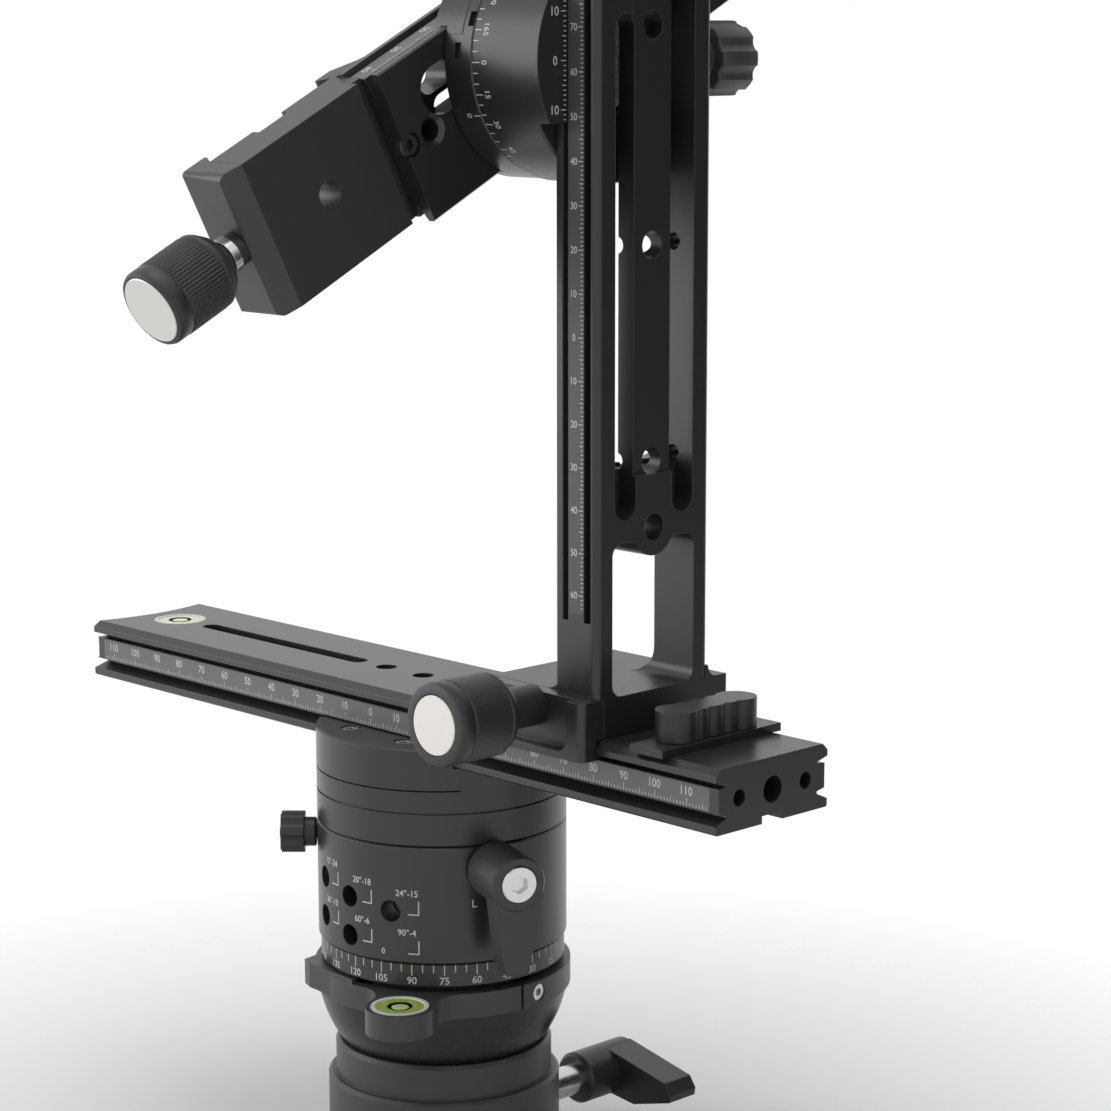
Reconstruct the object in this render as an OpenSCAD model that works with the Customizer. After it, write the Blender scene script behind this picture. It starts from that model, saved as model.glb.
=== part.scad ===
// Panoramic tripod head: a levelling base, an indexing rotator, a scaled
// dovetail rail, an upright and a tilting arm that carries a camera clamp.
// Millimetres. The origin is the middle of the base's underside, +Z is up,
// +X runs along the rail towards the upright, -Y is the side with the scales.

/* [Levelling base] */
// Outer radius of the base shell
base_r = 30; // [29.5:0.25:34]
// Height of the base shell
base_h = 41.3; // [40.5:0.1:42.2]
// Outer radius of the rim at the top of the base
rim_r = 28; // [27.8:0.1:29]
// Height at which the rim steps in
rim_z = 32.2; // [30:0.2:35]
// Radius of the levelling half ball
ball_r = 32.6; // [32.2:0.1:32.9]
// Height of the ball's centre above the base
ball_z = 60.6; // [60.2:0.1:61]
// Wall of the hollow half ball
ball_wall = 4.5; // [3.5:0.25:5.5]
// Height of the clamping axis in the base
base_lever_z = 16; // [15.5:0.1:16.5]
// Radius of the clamping shaft
lock_shaft_r = 4.15; // [3.9:0.05:4.4]
// Distance from the pan axis to the base lever's inner face
base_lever_y = 47.7; // [46:0.5:52]
// Width of the base lever, along its shaft
base_lever_w = 20.3; // [16:0.5:24]
// Radius of the base lever's hub
base_hub_r = 7; // [6.5:0.25:8]
// Length of the base lever's blade, from its shaft
base_blade_len = 26; // [22:0.5:30]
// Major diameter of the tripod thread
tripod_thread_d = 9.525; // [9.4:0.025:9.7]
// Outer radius of the threaded bush
bush_r = 7; // [6.5:0.1:7.5]

/* [Platform ring] */
// Outer radius of the platform ring
ring_r = 33; // [32:0.25:34.5]
// Height of the platform ring
ring_h = 6.4; // [5.8:0.1:6.8]
// Radius of the ball's neck inside the ring
neck_r = 30; // [29:0.25:30.5]
// Angle of the bubble ear around the pan axis
ear_angle = -56.4; // [-75:0.5:-45]
// Distance from the pan axis to the ear's bubble
ear_dist = 42.6; // [41.5:0.2:45]
// Radius of the ear
ear_r = 8.5; // [8.2:0.1:9.5]
// Radius of the bubble level's case
bubble_r = 7.2; // [6.6:0.1:7.6]
// Depth of the bubble level's case
bubble_h = 4.8; // [4:0.1:5.2]

/* [Indexing rotator] */
// Outer radius of the rotator's body
rot_r = 32; // [31.5:0.1:33]
// Radius of the plate that carries the degree scale
scale_r = 31.4; // [30.8:0.1:31.5]
// Height of the degree plate
scale_h = 6; // [5.5:0.1:6.5]
// Height of the body with the index holes
index_h = 30.1; // [29.6:0.1:30.6]
// Height of the free turning rotor up to the rail's seat
rotor_h = 20; // [18.5:0.25:22]
// Radius of the index holes
index_hole_r = 2.75; // [2.4:0.05:3]
// Drop from an upper index hole to the hole below it
index_pitch = 10.1; // [9.5:0.1:10.5]
// Radius of the detent drum
drum_r = 24.3; // [23.5:0.1:24.6]
// Radius of the spindle on which the body turns
spindle_r = 12; // [10:0.25:13]
// Angle of the lock lever around the pan axis
lever_angle = -19; // [-30:1:-8]
// Distance from the pan axis to the lock lever's face
lever_face_r = 48.2; // [46:0.2:50]
// Radius of the lock lever's hub
lever_hub_r = 7.1; // [6.5:0.1:7.6]
// Length of the lock lever, from its axis to its tip
lever_len = 23; // [20:0.5:25]
// Angle of the drag knob around the pan axis
drag_angle = -134; // [-145:1:-125]
// Radius of the drag knob
drag_knob_r = 5.35; // [4.8:0.1:6]

/* [Rail] */
// Length of the rail
rail_len = 238; // [220:1:250]
// Width of the rail across its lips
rail_w = 38; // [38:0.1:38.4]
// Thickness of the rail
rail_h = 15.28; // [15:0.1:16]
// Distance from the pan axis to the rail's end beyond the upright
rail_end_x = 113.4; // [112:0.5:118]
// Width of the slot along the rail
rail_slot_w = 5; // [4.6:0.1:6.4]
// Length of the slot along the rail
rail_slot_len = 67.8; // [50:1:75]

/* [Upright] */
// Distance from the pan axis to the upright's inner face
upright_x = 62.3; // [62:0.1:63]
// Thickness of the upright
upright_t = 13; // [12.6:0.1:14]
// Height of the upright's top above the base
upright_top = 344; // [335:1:360]
// Thickness of the foot plate under the upright
foot_t = 9.46; // [9.2:0.1:10.5]
// Distance from the pan axis to the foot's inner edge
foot_x = 36.7; // [35:0.5:38]
// Height of the window above the foot plate
window_h = 36.2; // [32:0.5:38]
// Radius of the holes for quarter inch screws
screw_hole_r = 3.2; // [3.1:0.05:3.3]

/* [Foot clamp and stop] */
// Diameter of the foot clamp's knob
foot_knob_d = 22.6; // [20:0.2:24]
// Length of the foot clamp's knob
foot_knob_len = 20; // [16:0.5:24]
// Radius of the clamp screws
clamp_screw_r = 2; // [1.8:0.05:2.2]
// Distance from the pan axis to the middle of the stop
stop_x = 92.6; // [92:0.2:94]
// Width of the stop along the rail
stop_w = 10.4; // [10:0.2:12]
// Length of the stop's fluted knob, across the rail
stop_knob_len = 30; // [27:0.5:32]
// Height of the stop's knob
stop_knob_h = 7.2; // [6:0.2:8]

/* [Tilt rotator] */
// Height of the tilt axis above the base
tilt_z = 291.3; // [286:0.5:296]
// Radius of the tilt rotator's body
tilt_r = 28.4; // [28:0.1:29]
// Length of the tilt rotator's body, along its axis
tilt_len = 18.1; // [17.5:0.1:19]
// Thickness of the turning hub
hub_t = 9.5; // [9:0.1:10.5]
// Radius of the hub's spindle
hub_spindle_r = 10; // [9:0.25:10.5]
// Half height of the lips that grip the upright
lip_half = 14.1; // [13:0.1:15]
// Diameter of the upright clamp's lobed knob
tilt_knob_d = 18; // [16:0.5:20]
// Angle of the arm below level
arm_tilt = 27; // [20:1:35]

/* [Arm and camera clamp] */
// Length of the arm's rail
arm_len = 140; // [125:1:150]
// Distance from the tilt axis to the arm rail's clamp end
arm_end = 44.4; // [42:0.2:48]
// Width of the camera clamp
cam_w = 36.4; // [34:0.2:38]
// Width of the camera clamp's mouth
cam_mouth = 36.4; // [35.5:0.1:37.2]
// Height of the clamp's jaws above its floor
cam_jaw_h = 4; // [3.4:0.1:4.6]
// Thickness of the camera clamp, from its floor to its back
cam_t = 12; // [11.4:0.1:13]
// Diameter of the camera clamp's knob
cam_knob_d = 18.6; // [17:0.2:20]
// Length of the camera clamp's knob
cam_knob_len = 20.3; // [17:0.5:23]

/* [Hidden] */
$fn = 96;

black = [0.09, 0.09, 0.1];
dark = [0.14, 0.14, 0.15];
steel = [0.72, 0.72, 0.74];
strip = [0.42, 0.42, 0.43];
white = [0.9, 0.9, 0.88];
lime = [0.72, 0.86, 0.3, 0.7];
brass = [0.72, 0.58, 0.3];

// Clearances: a running fit, a sliding face and the line between two bodies
run_gap = 0.05;
slide_gap = 0.12;
part_gap = 0.3;
// How far a cutting tool runs past the face it opens
over = 1;

// ---- Dovetail sections -------------------------------------------------
// u is across the section, v is up from the seat that a clamp presses on.
// Rail section: lip, groove, scale land, groove and lip, from the seat up
lip_v = 2.04;
land_v0 = 4.74;
land_v1 = 10.68;
top_lip_v = rail_h - 3.08;
land_half = rail_w / 2 - 1;
notch_half = rail_w / 2 - 3.6;
rail_top_half = rail_w / 2 - 1.7;
edge = 0.4;
// Upright section, from its inner face out: its lands are flush with its lips
up_lip_v = 1.9;
up_land_v0 = 3.7;
up_land_v1 = 8.9;
up_round = 1.9;
up_top_lip_v = upright_t - up_round;
up_land_half = rail_w / 2;
// Where the groove's inner corners lie, as shares of the groove's width
groove_a = 0.6;
groove_b = 0.82;
// How far a jaw's lip stays clear of the groove's bottom
tip_clear = 1.3;

function mix(a, b, t) = a + (b - a) * t;
function mirrored(p) = [for (i = [len(p) - 1:-1:0]) [-p[i][0], p[i][1]]];
module rail_section() {
    side = [
        [rail_w / 2 - edge, 0],
        [rail_w / 2, edge],
        [rail_w / 2, lip_v],
        [notch_half, mix(lip_v, land_v0, groove_a)],
        [notch_half, mix(lip_v, land_v0, groove_b)],
        [land_half, land_v0],
        [land_half, land_v1],
        [notch_half, mix(top_lip_v, land_v1, groove_b)],
        [notch_half, mix(top_lip_v, land_v1, groove_a)],
        [rail_w / 2, top_lip_v],
        [rail_w / 2, rail_h - 1.6],
        [rail_top_half, rail_h]
    ];
    polygon(concat(side, mirrored(side)));
}
// The upright without its grooves: square towards the hub, round edges outside
module upright_outline() {
    round_u = rail_w / 2 - up_round;
    translate([-rail_w / 2, 0])
        square([rail_w, upright_t - up_round]);
    translate([-round_u, 0])
        square([2 * round_u, upright_t]);
    for (s = [-1, 1])
        translate([s * round_u, upright_t - up_round])
            circle(up_round);
}
module upright_grooves() {
    half = rail_w / 2;
    for (s = [0, 1], g = [[up_lip_v, up_land_v0], [up_top_lip_v, up_land_v1]])
        mirror([s, 0])
            polygon([
                [half + over, g[0]], [half, g[0]],
                [notch_half, mix(g[0], g[1], groove_a)],
                [notch_half, mix(g[0], g[1], groove_b)],
                [up_land_half, g[1]], [half + over, g[1]]
            ]);
}
// A jaw on the +u side: a wall beside the section with a lip in its groove.
// The wall runs from v = back to the land, and out to u = out.
module jaw_section(lip, land, out, back, land_u = land_half, c = slide_gap) {
    d = land > lip ? 1 : -1;
    half = rail_w / 2;
    tip = notch_half + tip_clear;
    flank = mix(lip, land, groove_a * (half - tip) / (half - notch_half));
    roof = mix(lip, land, groove_b + (1 - groove_b) * (tip - notch_half) / (land_u - notch_half));
    polygon([
        [half + c, back],
        [half + c, lip + d * c],
        [tip, flank + d * c],
        [tip, roof - d * c],
        [land_u + c, land - d * c],
        [out, land - d * c],
        [out, back]
    ]);
}

// ---- Plane shapes and placing -------------------------------------------
module rounded(w, h, r) {
    square([w - 2 * r, h], center = true);
    square([w, h - 2 * r], center = true);
    for (x = [-1, 1], y = [-1, 1])
        translate([x * (w / 2 - r), y * (h / 2 - r)])
            circle(r);
}
module slot(length, w) {
    square([length - w, w], center = true);
    for (s = [-1, 1])
        translate([s * (length - w) / 2, 0])
            circle(w / 2);
}
// Plane x and y become X and Z, and the sheet runs from y0 to y1
module along_y(y0, y1) {
    translate([0, y1, 0])
        rotate([90, 0, 0])
            linear_extrude(y1 - y0)
                children();
}
// Plane x and y become Y and Z, and the sheet runs from x0 to x1
module along_x(x0, x1) {
    translate([x0, 0, 0])
        rotate([90, 0, 90])
            linear_extrude(x1 - x0)
                children();
}
// The child's own +Z points out from the pan axis, and its +X points down
module radial(angle, r, z) {
    rotate([0, 0, angle])
        translate([r, 0, z])
            rotate([0, 90, 0])
                children();
}
// The child's own +Z points to -Y, towards the person at the scales
module facing_front(x, y, z) {
    translate([x, y, z])
        rotate([90, 0, 0])
            children();
}
module facing_back(x, y, z) {
    translate([x, y, z])
        rotate([-90, 0, 0])
            children();
}
// A cylinder with both edges broken
module turned(r, h, c) {
    rotate_extrude()
        polygon([[0, 0], [r - c, 0], [r, c], [r, h - c], [r - c, h], [0, h]]);
}
// A knob outline: a disc with n scallops of radius s cut into its edge
module lobes(r, n, s, depth) {
    difference() {
        circle(r);
        for (i = [0:n - 1])
            rotate(360 * (i + 0.5) / n)
                translate([r + s - depth, 0])
                    circle(s);
    }
}
// A cap screw standing on its tip at the origin, with a hexagon socket
module cap_screw(shank_r, shank_len, head_r, head_h) {
    difference() {
        union() {
            cylinder(r = shank_r, h = shank_len);
            translate([0, 0, shank_len])
                turned(head_r, head_h, 0.25);
        }
        translate([0, 0, shank_len + head_h * 0.4])
            cylinder(r = head_r * 0.5, h = head_h, $fn = 6);
    }
}

// ---- Stack of heights -----------------------------------------------------
ring_z = ball_z - 5;
ring_top = ring_z + ring_h;
ball_top = ring_top - 0.5;
plate_z = ring_top + 1.3;
index_z = plate_z + scale_h;
rotor_z = index_z + index_h + 0.15;
seat_z = rotor_z + rotor_h;
rail_base = seat_z + slide_gap;
rail_top = rail_base + rail_h;
foot_z = rail_top + slide_gap;
foot_top = foot_z + foot_t;

// ---- Levelling base --------------------------------------------------------
cup_r = ball_r + run_gap;
// The bolt that draws the ball into its cup
draw_r = 3;
draw_head_r = 14;
hollow_r = ball_r - ball_wall;
washer_t = 2;
washer_out = 19;
washer_in = 8;
ball_opening = 12;
cam_throw = 0.5;
eye_z = base_lever_z + cam_throw;
eye_r = 3.6;
// How far the cam draws the bolt down
draw_travel = 0.5;
cavity_r = 9;
cavity_z = 9.6;
cavity_top = 23.5;
cam_r = 3;
shaft_inner = 11;

module base_shell() {
    color(dark)
        difference() {
            rotate_extrude()
                polygon([
                    [0, 0], [base_r - 1, 0], [base_r, 1], [base_r, rim_z - 0.8], [base_r - 0.8, rim_z],
                    [rim_r, rim_z], [rim_r, base_h - 1], [rim_r - 0.8, base_h], [0, base_h]
                ]);
            translate([0, 0, ball_z])
                sphere(cup_r);
            translate([0, 0, cavity_z])
                cylinder(r = cavity_r, h = cavity_top - cavity_z);
            translate([0, 0, cavity_top - over])
                cylinder(r = draw_r + 0.3, h = base_h);
            translate([0, 0, -over])
                cylinder(r = bush_r, h = cavity_z + 2 * over);
            facing_back(0, 0, base_lever_z)
                cylinder(r = lock_shaft_r + run_gap, h = base_r + over);
            facing_front(0, 0, base_lever_z)
                cylinder(r = cam_r + run_gap, h = cavity_r + 6);
        }
}
module tripod_bush() {
    color(brass)
        difference() {
            cylinder(r = bush_r, h = cavity_z - 0.4);
            translate([0, 0, -over])
                cylinder(d = tripod_thread_d, h = cavity_z + 2 * over);
        }
}
// The shaft carries an off-centre cam inside the draw bolt's eye
module lock_shaft() {
    color(steel) {
        facing_back(0, cavity_r + 0.3, base_lever_z)
            cylinder(r = lock_shaft_r, h = base_lever_y - cavity_r - 0.3);
        facing_back(0, base_lever_y, base_lever_z)
            cylinder(r = lock_shaft_r - 1, h = base_lever_w - 6);
        facing_back(0, -6, base_lever_z + cam_throw)
            cylinder(r = cam_r, h = 6 + cavity_r + 0.4);
        facing_front(0, -5.9, base_lever_z)
            cylinder(r = cam_r - 0.4, h = shaft_inner - 5.9);
    }
}
module base_lever() {
    blade_drop = -10;
    root_r = base_hub_r - 1.5;
    tip_r = 2.6;
    color(black)
        difference() {
            union() {
                facing_back(0, base_lever_y, base_lever_z)
                    turned(base_hub_r, base_lever_w, 0.8);
                translate([0, 0, base_lever_z])
                    rotate([0, -blade_drop, 0])
                        along_y(base_lever_y + base_lever_w - 10, base_lever_y + base_lever_w)
                            polygon([
                                [0, root_r + 1.4], [base_blade_len - tip_r, 6.3],
                                [base_blade_len, 6.3 - tip_r], [base_blade_len, 1.6],
                                [base_hub_r + 6.5, -root_r + 1], [0, -root_r]
                            ]);
            }
            facing_back(0, base_lever_y - over, base_lever_z)
                cylinder(r = lock_shaft_r - 1, h = base_lever_w - 6 + over);
            facing_back(0, base_lever_y + base_lever_w - 2, base_lever_z)
                cylinder(r = base_hub_r - 2.2, h = 2 + over);
        }
}
module draw_bolt() {
    head_top = ball_z - hollow_r + washer_t + 3.4;
    color(steel)
        difference() {
            union() {
                intersection() {
                    translate([0, 0, eye_z])
                        cube([12, 12, 11], center = true);
                    translate([0, 0, eye_z - 8])
                        cylinder(r = cavity_r - 0.8, h = 16);
                }
                translate([0, 0, eye_z + 5])
                    cylinder(r = draw_r, h = head_top - eye_z - 6);
                difference() {
                    translate([0, 0, head_top - 12])
                        cylinder(r = draw_head_r, h = 12);
                    translate([0, 0, ball_z])
                        difference() {
                            sphere(ball_z);
                            sphere(hollow_r - washer_t - 2 * run_gap - draw_travel);
                        }
                }
            }
            facing_back(0, -8, eye_z)
                cylinder(r = eye_r, h = 16);
        }
}
// A dished washer between the bolt's head and the ball's hollow
module clamp_washer() {
    color(brass)
        difference() {
            intersection() {
                translate([0, 0, ball_z])
                    sphere(hollow_r - run_gap);
                cylinder(r = washer_out, h = ball_z - 10);
            }
            translate([0, 0, ball_z])
                sphere(hollow_r - run_gap - washer_t);
            cylinder(r = washer_in, h = ball_z);
        }
}
plate_seat_r = 26;
plate_seat_z = ball_top - 6;
module level_ball() {
    color(dark)
        difference() {
            union() {
                intersection() {
                    translate([0, 0, ball_z])
                        sphere(ball_r);
                    cylinder(r = ball_r + over, h = ring_z);
                }
                translate([0, 0, ring_z - 1])
                    cylinder(r = neck_r, h = ball_top - ring_z + 1);
            }
            intersection() {
                translate([0, 0, ball_z])
                    sphere(hollow_r);
                cylinder(r = ball_r, h = plate_seat_z + 0.01);
            }
            cylinder(r = ball_opening, h = ball_z - hollow_r + 4);
            translate([0, 0, plate_seat_z])
                cylinder(r = plate_seat_r, h = 6 + over);
        }
}
stud_r = tripod_thread_d / 2 - 0.3;
module ball_plate() {
    color(steel)
        difference() {
            translate([0, 0, plate_seat_z])
                cylinder(r = plate_seat_r, h = ball_top - plate_seat_z);
            translate([0, 0, plate_seat_z - over])
                cylinder(r = stud_r, h = 8 + over);
        }
}
module centre_stud() {
    color(steel)
        translate([0, 0, plate_seat_z])
            cylinder(r = stud_r, h = index_z - plate_seat_z - 1);
}

// ---- Platform ring ------------------------------------------------------------
fillet_r = 8;
// Angle at the pan axis between the ear and the middle of its fillet, by the law of cosines
ear_spread = acos((pow(ring_r + fillet_r, 2) + pow(ear_dist, 2) - pow(ear_r + fillet_r, 2))
                  / (2 * (ring_r + fillet_r) * ear_dist));
function polar(r, a) = [r * cos(a), r * sin(a)];
ring_slit_angle = -4.8;
ring_screw_angle = 5.5;
ring_screw_r = 2.2;
horn_angle = -120;
horn_r = 36;

module ring_outline() {
    circle(ring_r);
    translate(polar(ear_dist, ear_angle))
        circle(ear_r);
    difference() {
        polygon([
            [0, 0],
            polar(ring_r + fillet_r, ear_angle - ear_spread),
            polar(ear_dist, ear_angle),
            polar(ring_r + fillet_r, ear_angle + ear_spread)
        ]);
        for (s = [-1, 1])
            translate(polar(ring_r + fillet_r, ear_angle + s * ear_spread))
                circle(fillet_r);
    }
}
module platform_ring() {
    color(dark)
        difference() {
            union() {
                translate([0, 0, ring_z])
                    linear_extrude(ring_h)
                        ring_outline();
                // The raised horn beside the ear
                translate([0, 0, ring_z + 1])
                    linear_extrude(ring_h)
                        polygon([
                            polar(ring_r - 2, horn_angle - 12), polar(horn_r, horn_angle - 3),
                            polar(horn_r - 0.6, horn_angle + 3), polar(ring_r - 0.1, horn_angle + 34),
                            polar(ring_r - 2, horn_angle + 34)
                        ]);
            }
            translate([0, 0, ring_z - over])
                cylinder(r = neck_r, h = ring_h + 3 * over);
            translate(concat(polar(ear_dist, ear_angle), ring_top - bubble_h))
                cylinder(r = bubble_r, h = bubble_h + over);
            rotate([0, 0, ring_slit_angle])
                translate([neck_r - over, -0.4, ring_z - over])
                    cube([ring_r, 0.8, ring_h + 3 * over]);
            radial(ring_screw_angle, neck_r - over, ring_z + ring_h / 2)
                cylinder(r = ring_screw_r, h = ring_r);
        }
}
module ring_screw() {
    color(steel)
        radial(ring_screw_angle, neck_r, ring_z + ring_h / 2)
            difference() {
                cylinder(r = ring_screw_r, h = ring_r - neck_r - 0.4);
                translate([0, 0, 1.2])
                    cylinder(r = 1.1, h = 4, $fn = 6);
            }
}
// A round level: a white case, and the glass that shows its bubble
module bubble_case(h) {
    difference() {
        cylinder(r = bubble_r, h = h);
        translate([0, 0, 1])
            cylinder(r = bubble_r - 1, h = h);
    }
}
module bubble_glass(h) {
    translate([0, 0, 1])
        cylinder(r = bubble_r - 1, h = h - 1.2);
}
module ear_bubble_case() {
    color(white)
        translate(concat(polar(ear_dist, ear_angle), ring_top - bubble_h))
            bubble_case(bubble_h + 0.2);
}
module ear_bubble_glass() {
    color(lime)
        translate(concat(polar(ear_dist, ear_angle), ring_top - bubble_h))
            bubble_glass(bubble_h + 0.2);
}

// ---- Indexing rotator -----------------------------------------------------------
drum_top = index_z + 19.3;
web_z = drum_top + 0.2;
web_t = 2.5;
skirt_z = web_z + web_t + 0.2;
skirt_r = rot_r - 6.1;
skirt_in = 21;
index_bore = drum_r + 0.4;
lever_z = skirt_z + 2;
drag_z = lever_z + 1.5;
lever_screw_r = 2.5;
drag_screw_r = 1.6;
// Index holes: angle around the pan axis, drop from the drum's top and stops per turn
index_columns = [[-110, 1.1, 24, 10], [-88.6, 3.4, 18, 6], [-65.7, 5.2, 15, 4]];
plunger_column = 0;
notch_r = 1;
// The spindle bolt's radius, and the height of its tip above the degree plate
spindle_bolt_r = 4;
spindle_bolt_z = 6;

module scale_plate() {
    color(black)
        difference() {
            union() {
                translate([0, 0, ball_top])
                    cylinder(r = neck_r - 2, h = plate_z - ball_top + 0.5);
                translate([0, 0, plate_z])
                    turned(scale_r, scale_h, 0.3);
                translate([0, 0, index_z - 0.5])
                    cylinder(r = spindle_r, h = web_z + web_t + 0.1 - index_z + 0.5);
            }
            translate([0, 0, ball_top - over])
                cylinder(r = stud_r, h = index_z - 1 - ball_top + over);
            translate([0, 0, index_z + spindle_bolt_z - over])
                cylinder(r = spindle_bolt_r, h = index_h);
        }
}
module detent_drum() {
    color(steel)
        difference() {
            translate([0, 0, index_z])
                cylinder(r = drum_r, h = drum_top - index_z);
            translate([0, 0, index_z - over])
                cylinder(r = spindle_r, h = drum_top - index_z + 2 * over);
            for (c = index_columns, row = [0, 1])
                for (i = [0:c[2 + row] - 1])
                    radial(c[0] + 360 * i / c[2 + row], drum_r - notch_r,
                           drum_top - c[1] - row * index_pitch - 0.7)
                        cylinder(r = notch_r, h = 3);
        }
}
module spindle_bolt() {
    color(steel) {
        translate([0, 0, web_z + web_t + 0.1])
            turned(spindle_r + 4, 3, 0.4);
        translate([0, 0, index_z + spindle_bolt_z])
            cylinder(r = spindle_bolt_r, h = web_z + web_t - index_z - spindle_bolt_z + 0.5);
    }
}
module index_body() {
    color(black)
        difference() {
            rotate_extrude()
                polygon([
                    [index_bore, index_z + 0.15], [rot_r - 0.4, index_z + 0.15],
                    [rot_r, index_z + 0.55], [rot_r, index_z + index_h - 0.4],
                    [rot_r - 0.4, index_z + index_h], [skirt_r + run_gap, index_z + index_h],
                    [skirt_r + run_gap, web_z + web_t], [spindle_r + run_gap, web_z + web_t],
                    [spindle_r + run_gap, web_z], [index_bore, web_z]
                ]);
            for (c = index_columns, row = [0, 1])
                radial(c[0], index_bore - over, drum_top - c[1] - row * index_pitch - 0.7)
                    cylinder(r = index_hole_r, h = rot_r);
            radial(lever_angle, skirt_r, lever_z)
                cylinder(r = lever_screw_r + run_gap, h = rot_r);
            radial(drag_angle, skirt_r, drag_z)
                cylinder(r = drag_screw_r + run_gap, h = rot_r);
        }
}
// The sprung plunger sits deep in one index hole, its nose in a drum notch
module index_plunger() {
    c = index_columns[plunger_column];
    color(steel)
        radial(c[0], drum_r + 0.1, drum_top - c[1] - 0.7)
            difference() {
                union() {
                    translate([0, 0, 0.5])
                        cylinder(r = index_hole_r, h = 4.5);
                    cylinder(r = notch_r - 0.3, h = 2);
                }
                translate([0, 0, 3.5])
                    cube([0.8, 6, 4], center = true);
            }
}
module lock_lever() {
    arm_t = 6.5;
    tip_w = 3.2;
    hub_start = rot_r + part_gap;
    face = lever_face_r - hub_start;
    color(black)
        radial(lever_angle, hub_start, lever_z)
            difference() {
                union() {
                    turned(lever_hub_r, face, 0.6);
                    translate([0, 0, face - arm_t])
                        linear_extrude(arm_t - 0.4)
                            polygon([
                                [-2, -lever_hub_r + 0.4], [lever_len - 5, -tip_w - 1.2],
                                [lever_len, -tip_w], [lever_len, tip_w - 0.6],
                                [4, lever_hub_r - 0.7], [-2, lever_hub_r - 0.4]
                            ]);
                }
                translate([0, 0, -over])
                    cylinder(r = lever_screw_r, h = face + 2 * over);
                translate([0, 0, face - 1.6])
                    cylinder(r = 4.7, h = 3);
            }
}
module lever_cap_screw() {
    color(steel)
        radial(lever_angle, skirt_r + 0.3, lever_z)
            cap_screw(lever_screw_r, lever_face_r - 1.6 - skirt_r - 0.3, 4.6, 2);
}
module drag_knob() {
    color(black)
        radial(drag_angle, skirt_r + 0.3, drag_z) {
            cylinder(r = drag_screw_r, h = rot_r - skirt_r + 1);
            translate([0, 0, rot_r - skirt_r])
                turned(drag_knob_r - 1.6, 3.4, 0.3);
            translate([0, 0, rot_r - skirt_r + 3])
                linear_extrude(6)
                    lobes(drag_knob_r, 7, 2.2, 0.9);
        }
}

// ---- Pan rotor and its rail clamp -------------------------------------------
jaw_top_v = land_v0 - slide_gap;
jaw_depth = 6;
jaw_screw_x = 10.2;
jaw_screw_y = rail_w / 2 + 2.7;
jaw_split = rail_w / 2 - 1.4;
jaw_head_r = 2.4;
jaw_shank_r = 1.5;

// The turning top of a rotator: a disc of radius r with its seat at z = 0,
// one fixed jaw at +Y and a shelf for the loose jaw at -Y
module clamp_rotor(r, h) {
    difference() {
        union() {
            translate([0, 0, -h])
                turned(r, h, 0.4);
            intersection() {
                translate([0, 0, -jaw_depth])
                    turned(r, jaw_depth + jaw_top_v, 0.4);
                along_x(-r, r)
                    jaw_section(lip_v, land_v0, r + over, -jaw_depth);
            }
        }
        translate([-r - over, -r - over, -jaw_depth])
            cube([2 * (r + over), r + over - jaw_split, jaw_depth + over]);
        for (s = [-1, 1])
            translate([s * jaw_screw_x, -jaw_screw_y, -jaw_depth - 3.6])
                cylinder(r = jaw_shank_r, h = jaw_depth);
    }
}
module loose_jaw(r) {
    difference() {
        intersection() {
            translate([0, 0, -jaw_depth])
                turned(r, jaw_depth + jaw_top_v, 0.4);
            union() {
                mirror([0, 1, 0])
                    along_x(-r, r)
                        jaw_section(lip_v, land_v0, r + over, -jaw_depth);
                translate([-r, -r, -jaw_depth])
                    cube([2 * r, r - jaw_split, jaw_depth - slide_gap]);
            }
        }
        for (s = [-1, 1])
            translate([s * jaw_screw_x, -jaw_screw_y, 0]) {
                translate([0, 0, -jaw_depth - over])
                    cylinder(r = jaw_shank_r, h = 20);
                translate([0, 0, jaw_top_v - 2.2])
                    cylinder(r = jaw_head_r + 0.1, h = 5);
            }
    }
}
module jaw_screws() {
    for (s = [-1, 1])
        translate([s * jaw_screw_x, -jaw_screw_y, -jaw_depth - 3.5])
            cap_screw(jaw_shank_r, jaw_depth + 3.5 + jaw_top_v - 2.2, jaw_head_r, 2);
}
module pan_rotor() {
    color(black)
        difference() {
            union() {
                translate([0, 0, seat_z])
                    clamp_rotor(rot_r, rotor_h);
                translate([0, 0, skirt_z])
                    cylinder(r = skirt_r, h = rotor_z + 1 - skirt_z);
            }
            translate([0, 0, skirt_z - over])
                cylinder(r = skirt_in, h = rotor_z + 2 - skirt_z + over);
            // The line around the rotor above its lower band
            translate([0, 0, rotor_z + 8.2])
                difference() {
                    cylinder(r = rot_r + over, h = 0.5);
                    translate([0, 0, -over])
                        cylinder(r = rot_r - 0.5, h = 3);
                }
        }
}
module rotor_jaw() {
    color(black)
        translate([0, 0, seat_z])
            loose_jaw(rot_r);
}
module rotor_jaw_screws() {
    color(steel)
        translate([0, 0, seat_z])
            jaw_screws();
}

// ---- Rail ---------------------------------------------------------------------
rail_start = rail_end_x - rail_len;
rail_bubble_x = rail_start + 14.7;
rail_slot_x = rail_start + 26.8 + rail_slot_len / 2;
rail_holes_x = [rail_slot_x + rail_slot_len / 2 + 8.8, rail_slot_x + rail_slot_len / 2 + 23.2];
rail_hole_r = 2.75;
end_hole_y = 11.3;
strip_t = 0.25;

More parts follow.
